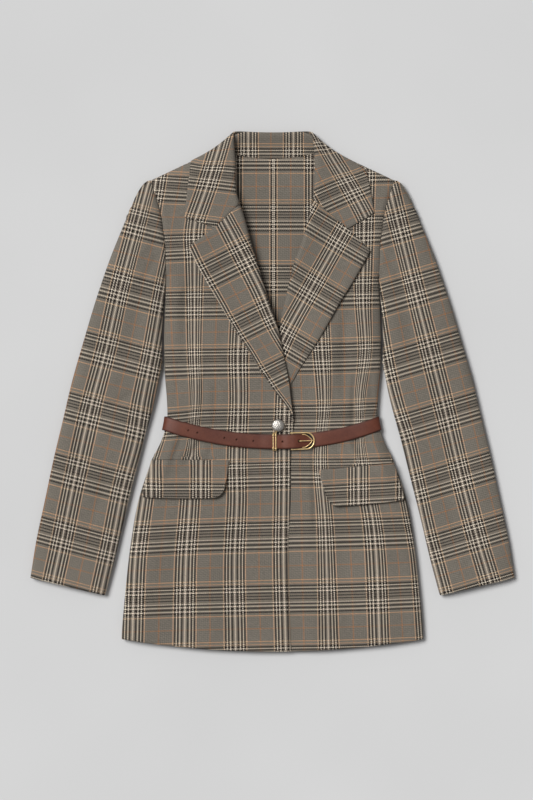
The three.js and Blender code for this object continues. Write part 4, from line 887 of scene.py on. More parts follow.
def lapel(key):
    s, rows = SIDES[key], lapel_rows[key]
    out_x = curve(rows)
    start_y, gorge_y, point_y = s["break_y"], s["gorge_y"] - SEAM, s["point_y"]
    start = (float(s["edge_x"](s["gorge_y"])), gorge_y)
    end = (float(out_x(point_y)), point_y)
    notch = NOTCH[key]
    notch_at = (notch[0] - start[0]) / (end[0] - start[0])
    bend = notch[1] - 2 * SEAM - lerp(start[1], end[1], notch_at)
    f = np.linspace(0, 1, LAPEL_ROWS)[:, None]
    roll_y, edge_y = lerp(start_y, gorge_y, f), lerp(rows[0][0], point_y, f)
    ax, bx = s["edge_x"](roll_y), out_x(edge_y)
    length = np.hypot(bx - ax, edge_y - roll_y)
    t = shares(length[:, 0], LAPEL_COLUMNS, 0, ROLL_STEPS, 7)
    x = lerp(ax, bx, t)
    y = lerp(roll_y, edge_y, t) + bend * f ** 4 * np.minimum(t / notch_at, (1 - t) / (1 - notch_at))
    d = t * length
    puff = 3 * ease((y - s["puff_from"]) / 90)
    base = s["face"](x, y)
    z = turned_over(base, d, np.minimum(7, length * 0.45), FRONT_WALL, puff, ease((roll_y - 12) / 40))
    to_edge = (1 - t) * length
    z = z - 0.45 * np.exp(-((to_edge / 2.2) ** 2)) + 0.5 * np.exp(-(((to_edge - 9) / 8) ** 2))
    # the edge stands off the chest higher up, and the lower end runs into the front's own edge
    z = z + 2.8 * ease((y - 40) / 80) * np.exp(-((to_edge / PUFF_REACH) ** 2))
    z = z - 2.1 * (1 - ease((roll_y - start_y) / 26))
    grid = grid_of(x, y, z)
    piece = shell("lapel " + key + " cloth", grid, FRONT_WALL, chart(x, y, *LAPEL_CHARTS[key]), wool)
    return cloth(piece, "lapel_" + key)


lapel("right")
lapel("left")

# %% [markdown]
# ## The collar
# The collar has two bands. The outer leaf folds over the inner stand at the roll, lies on the
# shoulders, and turns under at the back, where the flattened jacket rests on it. Three charts share
# one grid: one for each front part and one for the part behind.

# %% Collar leaf
COLLAR_TOP, COLLAR_MIDDLE, COLLAR_FOLD, COLLAR_WALL = 391, 9.5, 15, 2.2
LEAF_ACROSS = np.concatenate([[0, 0.006, 0.014, 0.026, 0.04, 0.058, 0.08], np.linspace(0.11, 0.97, 26),
                              [0.985, 1]])


def span_distance(x, y, a, b):
    return line_distance(x, y, np.array([a, b]))


def mix(a, b, t):
    return np.stack([lerp(a[0], b[0], t), lerp(a[1], b[1], t)], -1)


def gorge_point(key, t):
    s = SIDES[key]
    start = (float(s["edge_x"](s["gorge_y"])), s["gorge_y"] + SEAM)
    notch = NOTCH[key]
    point = (float(leaf_x[key](LEAF_POINT_Y[key])), LEAF_POINT_Y[key])
    first = math.dist(start, notch)
    second = math.dist(notch, point)
    along = t * (first + second)
    return np.where((along < first)[..., None], mix(start, notch, along / first),
                    mix(notch, point, (along - first) / second))


FOLD_SINK = curve([(-150, 3), (-121.5, 3.4), (-104, 5.8), (-89, 6.6), (-74, 5.2), (-62, 2.6), (-52, 0.9),
                   (-26, 1.9), (0, 2.4), (26, 1.9), (52, 0.9), (62, 2.8), (76, 6.8), (95, 8.9),
                   (122, 6.7), (139, 5.2), (160, 4)])


def sunk(x, y):
    """The fold sinks between its corners, and hangs in a hollow curve down to the shoulders."""
    ends = [FOLD_END["right"], FOLD_TOP["right"], FOLD_TOP["left"], FOLD_END["left"]]
    fold_y = np.interp(x, [p[0] for p in ends], [p[1] for p in ends])
    return FOLD_SINK(x) * np.exp(-((np.maximum(0, fold_y - y) / 34) ** 2))


def settled(grid):
    shaped = grid.copy()
    shaped[..., 1] -= sunk(grid[..., 0], grid[..., 1])
    return shaped


def leaf_front(key, t, s):
    side = SIDES[key]
    gorge_y, point_y = side["gorge_y"], LEAF_POINT_Y[key]
    roll_y = lerp(gorge_y + SEAM, COLLAR_TOP, s)
    edge_y = lerp(point_y, FOLD_END[key][1], s)
    flat_x, flat_y = lerp(neck_roll_x[key](roll_y), leaf_x[key](edge_y), t), lerp(roll_y, edge_y, t)
    cut = gorge_point(key, t)
    start_x = lerp(neck_roll_x[key](gorge_y), leaf_x[key](point_y), t)
    start_y = lerp(gorge_y + SEAM, point_y, t)
    share = (1 - s) ** 1.5
    x, y = flat_x + share * (cut[..., 0] - start_x), flat_y + share * (cut[..., 1] - start_y)
    to_roll = np.abs(x - neck_roll_x[key](np.clip(y, gorge_y, COLLAR_TOP)))
    top = turned_over(side["face"](x, y - sunk(x, y)), np.minimum(to_roll, t * 90), 7, COLLAR_WALL, 2.4,
                      1.0)
    d = span_distance(x, y, FOLD_TOP[key], FOLD_END[key])
    z = lerp(COLLAR_MIDDLE, np.maximum(top, LIFT - 2), round_over(d, COLLAR_FOLD))
    return grid_of(x, y, z)


def leaf_back(t, u):
    a, b = mix(FOLD_TOP["right"], FOLD_END["right"], t), mix(FOLD_TOP["left"], FOLD_END["left"], t)
    x = lerp(a[..., 0], b[..., 0], u)
    y = lerp(a[..., 1], b[..., 1], u) - LEAF_BACK_BOW * t * 4 * u * (1 - u)
    d = np.where(u < 0.5, span_distance(x, y, FOLD_TOP["right"], FOLD_END["right"]),
                 span_distance(x, y, FOLD_TOP["left"], FOLD_END["left"]))
    under = lerp(6.2, 0, round_over(COLLAR_TOP - y, 7))
    return grid_of(x, y, lerp(COLLAR_MIDDLE, under, round_over(d, COLLAR_FOLD)))


COLLAR_CHARTS = {
    "right": (lines_along([(240, -122), (262, -114), (308, -98), (376, -79), (400, -72)], 74),
              lines_across([(-1, (-117, 240)), (0, (-97, 323)), (1, (-76, 410))], -0.13)),
    "left": (lines_along([(238, 150), (262, 139), (300, 119), (360, 87), (390, 71)], 74),
             lines_across([(-1, (150, 225)), (0, (116, 305)), (1, (80, 388))], 0.45)),
}


def collar_leaf():
    t = LEAF_ACROSS[:, None]
    fronts = {}
    for key in ("right", "left"):
        ends = leaf_front(key, LEAF_ACROSS, 0.0), leaf_front(key, LEAF_ACROSS, 1.0)
        length = np.hypot(*(ends[1] - ends[0])[:, :2].T)
        fronts[key] = leaf_front(key, t, shares(length, 30, 10, 0, COLLAR_FOLD))
    a = mix(FOLD_TOP["right"], FOLD_END["right"], LEAF_ACROSS)
    b = mix(FOLD_TOP["left"], FOLD_END["left"], LEAF_ACROSS)
    behind = leaf_back(t, shares((b - a)[:, 0], 40, 10, 10, COLLAR_FOLD))[:, 1:-1]
    grid = np.concatenate([fronts["right"], behind, fronts["left"][:, ::-1]], 1)
    x, y = grid[..., 0], grid[..., 1]
    own = np.stack([x / WARP_REPEAT, (y - 330) / WEFT_REPEAT], -1)
    all_charts = [chart(x, y, *COLLAR_CHARTS["right"]), own, chart(x, y, *COLLAR_CHARTS["left"])]
    first, last = fronts["right"].shape[1] - 1, grid.shape[1] - fronts["left"].shape[1]
    column = np.arange(grid.shape[1] - 1)
    patches = np.where(column < first, 0, np.where(column < last, 1, 2))
    flip = normals_of(grid)[:, :first // 2, 2].mean() < 0
    grid = settled(grid)
    piece = folded_shell("collar leaf cloth", grid, COLLAR_WALL, all_charts, patches, flip)
    return cloth(piece, "collar_leaf")


def folded_shell(name, grid, thickness, charts, patches, flip):
    """A shell that turns under itself, so its outer side is told by the first columns alone."""
    up = (normals_of(grid)[..., 2].mean() > 0) != flip
    return shell(name, grid, thickness, charts, wool, up=up, patches=patches)


collar_leaf()


# %% Collar stand
STAND_START, STAND_WALL, STAND_INSET = 314, 1.8, 3.8
STAND_TOP = {"right": np.array([-61.0, 385.0]), "left": np.array([61.8, 385.0])}
STAND_NECK = {"right": np.array([-79.4, 364.6]), "left": np.array([79.4, 364.6])}
STAND_ACROSS = np.linspace(0, 1, 16)


def stand_front(key, t, s):
    side = SIDES[key]["side"]
    neck_y, roll_y = lerp(STAND_START, NECK_Y, s), lerp(STAND_START, STAND_TOP[key][1], s)
    neck_x = front_edge_x(SIDES[key], neck_y) - side * 0.9
    roll_x = neck_roll_x[key](roll_y) + side * STAND_INSET
    last = mix(STAND_NECK[key], STAND_TOP[key], t)
    closing = ease((s - 0.86) / 0.14)
    x = lerp(lerp(neck_x, roll_x, t), last[..., 0], closing)
    y = lerp(lerp(neck_y, roll_y, t), last[..., 1], closing)
    d = span_distance(x, y, STAND_NECK[key], STAND_TOP[key])
    rounding = round_over(d, lerp(SIDE_ROLL, COLLAR_FOLD, t))
    return grid_of(x, y, lerp(lerp(MIDDLE, COLLAR_MIDDLE, t), LIFT - t, rounding))


def stand_back(t, s):
    a, b = mix(STAND_NECK["right"], STAND_TOP["right"], t), mix(STAND_NECK["left"], STAND_TOP["left"], t)
    length = (b - a)[..., 0]
    x = a[..., 0] + s * length
    corner = np.where(x < 0, STAND_TOP["right"][1], STAND_TOP["left"][1])
    top_y = lerp(corner, COLLAR_TOP - 1.3, ease(np.minimum(s, 1 - s) * length / 24))
    y = lerp(np.minimum(back_top(x), NECK_Y) + 0.6, top_y, t)
    d = np.where(x < 0, span_distance(x, y, STAND_NECK["right"], STAND_TOP["right"]),
                 span_distance(x, y, STAND_NECK["left"], STAND_TOP["left"]))
    under = NECK_RISE + 6.4 * ease((t - 0.42) / 0.58) + 0.8 * np.sin(np.pi * t)
    return grid_of(x, y, lerp(lerp(MIDDLE, COLLAR_MIDDLE, t), under,
                              round_over(d, lerp(SIDE_ROLL, COLLAR_FOLD, t))))


def collar_stand():
    t = STAND_ACROSS[:, None]
    s_front = shares(np.full(len(STAND_ACROSS), COLLAR_TOP - STAND_START), 16, 10, 0, 18)
    fronts = {key: stand_front(key, t, s_front) for key in ("right", "left")}
    widths = STAND_TOP["left"][0] - STAND_TOP["right"][0] + (1 - STAND_ACROSS) * 36
    behind = stand_back(t, shares(widths, 40, 10, 10, 18))[:, 1:-1]
    grid = settled(np.concatenate([fronts["right"], behind, fronts["left"][:, ::-1]], 1))
    x, y = grid[..., 0], grid[..., 1]
    groups = [(-1, [(340, -104), (391, -104)]), (0, [(340, -36.4), (391, -36.4)]),
              (1, [(340, 31.4), (391, 31.4)]), (2, [(340, 99), (391, 99)])]
    lines = [(0, [(-60, 346), (60, 346)]), (1, [(-60, 436), (60, 436)])]
    piece = shell("collar stand cloth", grid, STAND_WALL, chart(x, y, groups, lines), wool, up=False)
    return cloth(piece, "collar_stand")


collar_stand()

# %% [markdown]
# ## Pocket flaps and welts
# A flap hangs from the pocket's seam and lies on the front. Its lower corner towards the centre is
# rounded and curls up a little. Above it shows the narrow folded edge of the pocket, the welt.

# %% Pocket flaps and welts
FLAP_WALL, FLAP_CORNER, WELT_HEIGHT = 2.2, 14, 5
FLAPS = {
    "right": [(-65.5, -104.7), (-181, -104.7), (-74.5, -160.5), (-193, -160)],
    "left": [(70, -119.6), (182, -109.6), (84.5, -174), (196.5, -164)],
}
FLAP_CHARTS = {
    "right": ([(-2, [(-160, -181), (-105, -181)]), (-1, [(-160, -107.5), (-105, -107.5)])],
              [(1, [(-190, -248), (-70, -248)]), (2, [(-190, -158), (-70, -158)])]),
    "left": ([(2, [(-165, 129), (-110, 129)]), (3, [(-165, 200), (-110, 200)])],
             [(1, [(70, -251), (190, -245)]), (2, [(70, -161), (190, -155)])]),
}


def laid_on(face, x, y, lift):
    """Points lifted off a face along its own slope."""
    base = grid_of(x, y, face(x, y))
    normal = normals_of(base)
    normal *= np.sign(normal[..., 2:3])
    return base + normal * lift[..., None]


def flap_plan(corners):
    (ax, ay), (bx, by), (cx, cy), (dx, dy) = corners
    width, depth = abs(bx - ax), ay - cy
    u = np.concatenate([np.linspace(0, 0.12, 22), np.linspace(0.132, 0.97, 60), np.linspace(0.98, 1, 4)])
    v = np.concatenate([np.linspace(0, 0.06, 5), np.linspace(0.09, 0.93, 32), np.linspace(0.95, 1, 6)])
    v = v[:, None]
    rounding = FLAP_CORNER / depth * (1 - round_over(u * width, FLAP_CORNER))
    down = v * (1 - rounding)
    bowed = 1.4 * np.sin(np.pi * u) * v
    x = lerp(lerp(ax, bx, u), lerp(cx, dx, u), down)
    y = lerp(lerp(ay, by, u), lerp(cy, dy, u), down) - bowed
    return u, v, x, y


def flap(key):
    corners, face = FLAPS[key], SIDES[key]["face"]
    u, v, x, y = flap_plan(corners)
    raised = REST_GAP + FLAP_WALL + 3.0 * ease((v - 0.2) / 0.8) + 1.6 * v * v * (1 - ease(u / 0.3))
    # the top is pressed into the pocket seam, and the turned edge is a little thinner than the rest
    pressed = 1.0 * (1 - ease(v / 0.07)) + 0.5 * np.exp(-(((v - 0.085) / 0.02) ** 2))
    wave = 0.35 * np.sin(u * 9.5 + 0.6) * v
    grid = laid_on(face, x, y, raised - pressed + wave)
    piece = shell("pocket flap " + key, grid, FLAP_WALL - 0.3, chart(x, y, *FLAP_CHARTS[key]), wool)
    return cloth(piece, "flap_" + key)


def welt(key):
    (ax, ay), (bx, by) = FLAPS[key][:2]
    u = np.linspace(0.16, 0.975, 60)
    row = np.linspace(0, 1, 7)[:, None]
    x = lerp(ax, bx, u) + 0 * row
    y = lerp(ay, by, u) + 0.4 + row * WELT_HEIGHT
    lift = 0.15 + (0.25 + 0.8 * np.sin(np.pi * row) ** 0.5) * ease((u - 0.16) / 0.12) + 0 * x
    grid = laid_on(SIDES[key]["face"], x, y, lift)
    warp, weft = (RIGHT_WARP, RIGHT_WEFT) if key == "right" else (LEFT_WARP, LEFT_WEFT)
    piece = shell("pocket welt " + key, grid, 0.8, chart(x, y, warp, weft), wool)
    return cloth(piece, "welt_" + key)


for key in ("right", "left"):
    flap(key)
    welt(key)

# %% [markdown]
# ## Belt leather and metals
# The belt is brown vegetable-tanned leather, 22 mm wide, with a waxed finish: fine grain, slow tone
# changes where it was bent, and darker burnished edges. The buckle and keeper are yellow brass with a
# brushed, slightly worn face. The button is cast white metal, hammered so that it glints in facets.
# Between the buckle's two wires the strap is painted near black: a painted shadow of the hollow under the
# buckle.

# %% Leather and metals
def leather(name):
    material, tree, surface = new_material(
        name, Roughness=0.52, Specular_IOR_Level=0.3, Coat_Weight=0.04, Coat_Roughness=0.4)
    where = add(tree, "ShaderNodeUVMap", uv_map="Chart")
    parts = add(tree, "ShaderNodeSeparateXYZ", {0: where.outputs[0]})
    place = add(tree, "ShaderNodeTexCoord").outputs["Object"]
    # 0 in the middle of the strap, a half at its edges, and more where the chart marks the painted shadow
    # under the buckle
    far = maths(tree, "ABSOLUTE", maths(tree, "SUBTRACT", parts.outputs[1], 0.5))
    edge = add(tree, "ShaderNodeMapRange", {0: far}, in_1=0.36, in_2=0.5)
    # the second range is 1 only where the chart marks the painted shadow between the buckle's wires
    beyond = add(tree, "ShaderNodeMapRange", {0: far}, in_1=0.52, in_2=0.72)
    tone = add(tree, "ShaderNodeValToRGB", {0: noise(tree, place, 34.0, 4.0)})
    fill_ramp(tone.color_ramp, [(0.3, linear("#542a1e")), (0.5, linear("#5e3224")),
                                (0.7, linear("#693a2a"))], "LINEAR")
    burnt = mixed(tree, edge.outputs[0], tone.outputs[0], linear("#42241b"))
    # painted shadow: near black where the chart marks the hollow under the buckle, between its wires
    painted_shade = mixed(tree, beyond.outputs[0], burnt, linear("#160d0a"))
    fine = noise(tree, place, 420.0, 5.0)
    fleck = maths(tree, "MULTIPLY_ADD", fine, 0.5, 0.75)
    tree.links.new(scaled(tree, painted_shade, fleck), surface.inputs["Base Color"])
    pores = add(tree, "ShaderNodeTexVoronoi", {"Vector": place}, in_Scale=1100.0)
    height = maths(tree, "MULTIPLY_ADD", fine, 0.8, pores.outputs[0])
    bump = add(tree, "ShaderNodeBump", {"Height": height}, in_Strength=0.35, in_Distance=0.0003)
    tree.links.new(bump.outputs[0], surface.inputs["Normal"])
    return material


def brushed_metal(name, low, high, roughness, grain_scale, relief, metallic=1.0):
    material, tree, surface = new_material(name, Metallic=metallic, Roughness=roughness)
    place = add(tree, "ShaderNodeTexCoord")
    stretched = add(tree, "ShaderNodeMapping", {0: place.outputs["Object"]}, in_3=(1.0, 6.0, 1.0))
    lines = noise(tree, stretched.outputs[0], grain_scale, 4.0)
    tone = add(tree, "ShaderNodeValToRGB", {0: lines})
    fill_ramp(tone.color_ramp, [(0.3, linear(low)), (0.7, linear(high))], "LINEAR")
    tree.links.new(tone.outputs[0], surface.inputs["Base Color"])
    rough = add(tree, "ShaderNodeMapRange", {0: lines}, in_3=roughness - 0.08, in_4=roughness + 0.14)
    tree.links.new(rough.outputs[0], surface.inputs["Roughness"])
    bump = add(tree, "ShaderNodeBump", {"Height": lines}, in_Strength=0.4, in_Distance=relief)
    tree.links.new(bump.outputs[0], surface.inputs["Normal"])
    return material


belt_leather = leather("vegetable-tanned leather, waxed")
brass = brushed_metal("yellow brass, brushed", "#dcb67a", "#fbe0ad", 0.32, 260.0, 0.0001, 0.72)
white_metal = brushed_metal("cast white metal, hammered", "#98938c", "#d4cfc8", 0.34, 500.0, 0.00005, 0.92)

# %% [markdown]
# ## The belt
# One strap goes round the waist, so it is one swept band: out from the buckle to the viewer's left,
# round under the back, and over the buckle again. Its height on the front is measured from the cloth
# beneath, smoothed as stiff leather smooths it.

# %% The belt's route
BELT_WIDTH, BELT_THICK, BELT_GAP, BELT_SIDE_GAP = 22, 1.9, 0.35, 0.8
# the buckle's inner wire: where its rounded end starts, and its reach along and across the belt
INNER_X, INNER_LONG, INNER_HALF = 48.2, 11.2, 9.6
BUCKLE = dict(left=26.7, right=63.9, half=13.4, bar=2.2, thick=2.2, turn=0.035)
KEEPER_X, KEEPER_HALF = 3.1, 13.3
HOLES, PRONG_HOLE = [-126, -112.5, -72, -53.7, -28.6, 15.2], 40.2

base_xs = np.arange(-165.0, 166.0)
under_belt = []
for w in (-1, -0.5, 0, 0.5, 1):
    ys = belt_y(base_xs) + w * BELT_WIDTH / 2
    under_belt.append(np.where(base_xs < right_edge_x(ys), right_face(base_xs, ys), left_face(base_xs, ys)))
under_belt = np.max(under_belt, 0)
widest = np.array([under_belt[max(0, i - 9):i + 10].max() for i in range(len(base_xs))])
padded = np.pad(widest, 12, mode="edge")
smoothed = np.array([padded[i:i + 25].mean() for i in range(len(base_xs))])


def belt_base(x):
    return np.interp(x, base_xs, smoothed)


def lower_strap(x):
    return belt_base(x) + BELT_GAP + 1.1 * plateau(x - KEEPER_X, 6, 24)


UNDER_RIM = max(belt_base(BUCKLE["right"]), belt_base(BUCKLE["right"] - 8)) + BELT_GAP
BUCKLE_BASE = max(UNDER_RIM + BELT_THICK + SEAM, lower_strap(BUCKLE["left"]) + 0.6)
OVER_BAR = BUCKLE_BASE + BUCKLE["thick"] + SEAM


def loose_end(x):
    """Under the buckle's rim, over its bar, then on the other strap."""
    upper = lower_strap(np.minimum(x, 14)) + BELT_THICK + SEAM
    under_rim = belt_base(BUCKLE["right"] - 8) + BELT_GAP
    z = lerp(upper, OVER_BAR, ease((x - 12) / 13))
    z = np.where(x > 25, OVER_BAR, z)
    z = np.where(x > 31, lerp(OVER_BAR, under_rim, ease((x - 31) / (BUCKLE["right"] - 39))), z)
    return np.where(x > BUCKLE["right"] - 8, belt_base(x) + BELT_GAP, z)


BELT_ACROSS = np.linspace(-1, 1, 13)
# the loose strap's run over the front, and its last turn round the side, where its end is hidden
LOOSE_XS = np.arange(123, -132, -1.2)
LAST_TURN = np.linspace(np.pi / 2, -0.26, 18)
# the chart's length along the strap, and a value past 1 across it that marks the painted shadow under the
# buckle
UV_LENGTH, PAINTED_SHADE_V = 300, 1.6


def strap_on_front(xs, height):
    """Rows of (inner point, outward normal) across the strap, for places along the front."""
    x = np.repeat(np.asarray(xs, float)[:, None], len(BELT_ACROSS), 1)
    y = belt_y(x) + BELT_ACROSS * BELT_WIDTH / 2
    z = height(x)
    slope = height(x + 0.5) - height(x - 0.5)
    normal = grid_of(-slope, 0 * x, 1 + 0 * x)
    return grid_of(x, y, z), normal / np.linalg.norm(normal, axis=2, keepdims=True)


def strap_round_side(side, angles, layer):
    a = np.asarray(angles, float)[:, None]
    y = belt_y(WAIST) + BELT_ACROSS * BELT_WIDTH / 2 + 0 * a
    half = side_x(y)
    rise, reach = np.sin(a), np.cos(a)
    height = np.where(rise > 0, belt_base(side * (WAIST - SIDE_ROLL)) - MIDDLE, MIDDLE - BELT_BED)
    bend = belt_y(half - SIDE_ROLL + reach * SIDE_ROLL) - belt_y(WAIST)
    normal = grid_of(side * reach / SIDE_ROLL + 0 * y, 0 * y, rise / height)
    normal /= np.linalg.norm(normal, axis=2, keepdims=True)
    gap = lerp(BELT_GAP, BELT_SIDE_GAP, reach) + layer * (BELT_THICK + SEAM)
    point = grid_of(side * (half - SIDE_ROLL + SIDE_ROLL * reach), y + bend, MIDDLE + height * rise)
    return point + normal * gap[..., None], normal


def strap_beneath(xs):
    x = np.repeat(np.asarray(xs, float)[:, None], len(BELT_ACROSS), 1)
    y = back_belt_y(x) + BELT_ACROSS * BELT_WIDTH / 2
    return grid_of(x, y, np.full_like(x, BELT_BED - BELT_GAP)), grid_of(0 * x, 0 * x, -1 + 0 * x)


# %% The belt's band, its rounded edges and its holes
def strap_route():
    quarter = np.pi / 2
    turns = [strap_on_front(np.arange(BUCKLE["left"] - 0.6, -132, -1.5), lower_strap),
             strap_round_side(-1, np.linspace(quarter, -quarter, 26), 0),
             strap_beneath(np.linspace(-112, 112, 40)),
             strap_round_side(1, np.linspace(-quarter, quarter, 26), 0),
             strap_on_front(LOOSE_XS, loose_end),
             strap_round_side(-1, LAST_TURN, 1)]
    return np.concatenate([t[0] for t in turns]), np.concatenate([t[1] for t in turns])


def strap():
    inner, normal = strap_route()
    rounded = 0.35 * (1 - round_over((1 - np.abs(BELT_ACROSS)) * BELT_WIDTH / 2, 1.1))
    crown = 0.22 * (1 - BELT_ACROSS ** 2)
    outer = inner + normal * (BELT_THICK - rounded + crown - 0.2)[None, :, None]
    steps = np.linalg.norm(np.diff(inner[:, len(BELT_ACROSS) // 2], axis=0), axis=1)
    along = np.concatenate([[0], np.cumsum(steps)]) / UV_LENGTH
    uv = np.stack(np.broadcast_arrays(along[:, None], (BELT_ACROSS + 1) / 2), -1).copy()
    # painted shadow: the loose end is painted near black between the buckle's two wires, where the hollow
    # under the buckle lies in shade; its material reads a value past 1 so
    start = len(along) - len(LOOSE_XS) - len(LAST_TURN)
    along_x = outer[..., 0] - INNER_X
    up_y = outer[..., 1] - belt_y(50) - BUCKLE["turn"] * (outer[..., 0] - 45)
    past_inner = np.maximum(0, along_x / INNER_LONG) ** 1.33 + np.abs(up_y / INNER_HALF) ** 1.33
    painted_shade = (past_inner > 1.0) & (along_x > -1) & (np.hypot(along_x - 2.3, up_y) < 12.6)
    painted_shade &= (np.arange(len(along)) >= start)[:, None]
    uv[..., 1] = np.where(painted_shade, PAINTED_SHADE_V, uv[..., 1])
    # which side is out changes along the route, so the band is closed from its two grids here
    rows, cols = outer.shape[:2]
    verts = np.vstack([outer.reshape(-1, 3), inner.reshape(-1, 3)])
    faces, uvs = [], []
    count = rows * cols
    flat = uv.reshape(-1, 2)
    for i in range(rows - 1):
        for j in range(cols - 1):
            a, b, c, d = i * cols + j, i * cols + j + 1, (i + 1) * cols + j + 1, (i + 1) * cols + j
            faces += [(a, b, c, d), (d + count, c + count, b + count, a + count)]
            uvs += [flat[[a, b, c, d]], flat[[d, c, b, a]]]
    rim = rim_of(rows, cols)
    ids = rim[:, 0] * cols + rim[:, 1]
    for a, b in zip(ids, np.roll(ids, -1)):
        faces.append((b, a, a + count, b + count))
        uvs.append(flat[[b, a, a, b]])
    piece = new_piece("leather belt", verts, faces, np.vstack(uvs), belt_leather)
    cutters = [punch(x, 2.2 if x == PRONG_HOLE else 1.5) for x in HOLES + [PRONG_HOLE]]
    for cutter in cutters:
        cut = piece.modifiers.new("hole", "BOOLEAN")
        cut.operation, cut.object, cut.solver = "DIFFERENCE", cutter, "EXACT"
    shaped = bpy.data.meshes.new_from_object(piece.evaluated_get(bpy.context.evaluated_depsgraph_get()))
    piece.modifiers.clear()
    piece.data = shaped
    for cutter in cutters:
        bpy.data.objects.remove(cutter, do_unlink=True)
    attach(piece, "root")
    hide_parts("belt_strap")
    print("leather belt:", len(shaped.polygons), "faces,", round(float(along[-1] * UV_LENGTH)), "mm long")


def punch(x, radius):
    """A short post that cuts one hole through the upper strap."""
    angle = np.linspace(0, 2 * np.pi, 20, endpoint=False)
    low, high = float(loose_end(x)) - 0.15, float(loose_end(x)) + BELT_THICK + 1.6
    ring = np.stack([x + radius * np.cos(angle), belt_y(x) + radius * np.sin(angle)], 1)
    verts = [(px, py, low) for px, py in ring] + [(px, py, high) for px, py in ring]
    n = len(ring)
    faces = [tuple(range(n))[::-1], tuple(range(n, 2 * n))]
    faces += [(i, (i + 1) % n, (i + 1) % n + n, i + n) for i in range(n)]
    uvs = np.zeros((sum(len(f) for f in faces), 2))
    return new_piece("punch", verts, faces, uvs, belt_leather)


strap()

# %% [markdown]
# ## Buckle, prong and keeper
# The buckle is a D bent from flat brass wire with its ends open at the straight side, and a thinner
# wire inside it. The prong goes through a hole and rests on the rim. The keeper is two thin rails
# with round ends, and its link reaches up to the button, so the belt hangs from it.

# %% Wires
def tube(path, radii, sides=14):
    """Vertices and faces of a round wire with rounded ends along a path."""
    path = np.asarray(path, float)
    tangent = np.gradient(path, axis=0)
    tangent /= np.linalg.norm(tangent, axis=1, keepdims=True)
    up = np.array([0, 0, 1.0])
    side = np.cross(up, tangent)
    side /= np.linalg.norm(side, axis=1, keepdims=True)
    rise = np.cross(tangent, side)
    angle = np.linspace(0, 2 * np.pi, sides, endpoint=False)
    radii = np.broadcast_to(radii, len(path)).copy()
    rings = []
    for k in (0.25, 0.6, 0.9):
        r = radii[0] * math.sin(k * math.pi / 2)
        end = path[0] - tangent[0] * radii[0] * math.cos(k * math.pi / 2)
        rings.append((end, side[0], rise[0], r))
    rings += [(p, s, u, r) for p, s, u, r in zip(path, side, rise, radii)]
    for k in (0.9, 0.6, 0.25):
        r = radii[-1] * math.sin(k * math.pi / 2)
        end = path[-1] + tangent[-1] * radii[-1] * math.cos(k * math.pi / 2)
        rings.append((end, side[-1], rise[-1], r))
    verts = [p + r * (np.cos(a) * s + np.sin(a) * u) for p, s, u, r in rings for a in angle]
    n = len(rings)
    faces = [(i * sides + j, i * sides + (j + 1) % sides, (i + 1) * sides + (j + 1) % sides,
              (i + 1) * sides + j)
             for i in range(n - 1) for j in range(sides)]
    faces += [tuple(range(sides))[::-1], tuple(range((n - 1) * sides, n * sides))]
    return np.array(verts), faces


def joined(parts):
    verts, faces, start = [], [], 0
    for part_verts, part_faces in parts:
        verts.append(part_verts)
        faces += [tuple(i + start for i in f) for f in part_faces]
        start += len(part_verts)
    return np.vstack(verts), faces


def turned_with_belt(points):
    """Buckle pieces are drawn along y = 0 and turned to the belt's slope."""
    centre = (BUCKLE["left"] + BUCKLE["right"]) / 2 - 5
    x, y = points[:, 0] - centre, points[:, 1]
    c, s = math.cos(BUCKLE["turn"]), math.sin(BUCKLE["turn"])
    return np.stack([x * c - y * s + centre, x * s + y * c + float(belt_y(centre)) + 0.15, points[:, 2]], 1)


def metal_piece(name, node, parts, material):
    verts, faces = joined(parts)
    piece = new_piece(name, verts, faces, None, material)
    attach(piece, "root")
    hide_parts(node)
    print(name, len(faces), "faces")
    return piece


# %% Buckle and prong
def d_path(left, right, half, z):
    """A D open at its left: one arm, the round end, the other arm."""
    angle = np.linspace(-np.pi / 2, np.pi / 2, 26)
    arc = np.stack([right - half + half * np.cos(angle), half * np.sin(angle)], 1)
    arm_x = np.linspace(left, right - half, 12)[:-1]
    low = np.stack([arm_x, np.full_like(arm_x, -half)], 1)
    high = np.stack([arm_x[::-1], np.full_like(arm_x, half)], 1)
    flat = np.vstack([low, arc, high])
    return np.column_stack([flat, np.full(len(flat), z)])


def buckle():
    left, right, half, thick = BUCKLE["left"], BUCKLE["right"], BUCKLE["half"], BUCKLE["thick"]
    z = BUCKLE_BASE + thick / 2
    outer = d_path(left + 1.1, right - 1.3, half - 1.1, z)
    round_end = np.clip((outer[:, 0] - (right - half)) / half, 0, 1)
    radii = 1.0 + 0.35 * round_end ** 2
    a = np.linspace(-np.pi / 2, np.pi / 2, 40)
    arc = np.column_stack([INNER_X + INNER_LONG * np.cos(a) ** 1.5,
                           INNER_HALF * np.sign(np.sin(a)) * np.abs(np.sin(a)) ** 1.5,
                           np.full(40, z - 0.1)])
    inner = np.vstack([[(INNER_X - 3, -INNER_HALF, z - 0.1)], arc, [(INNER_X - 3, INNER_HALF, z - 0.1)]])
    bar = np.column_stack([np.full(14, left + 3.2), np.linspace(-half + 2, half - 2, 14),
                           np.full(14, z - 0.2)])
    parts = [tube(turned_with_belt(outer), radii), tube(turned_with_belt(inner), 0.62),
             tube(turned_with_belt(bar), 0.95)]
    return metal_piece("belt buckle", "buckle_frame", parts, brass)


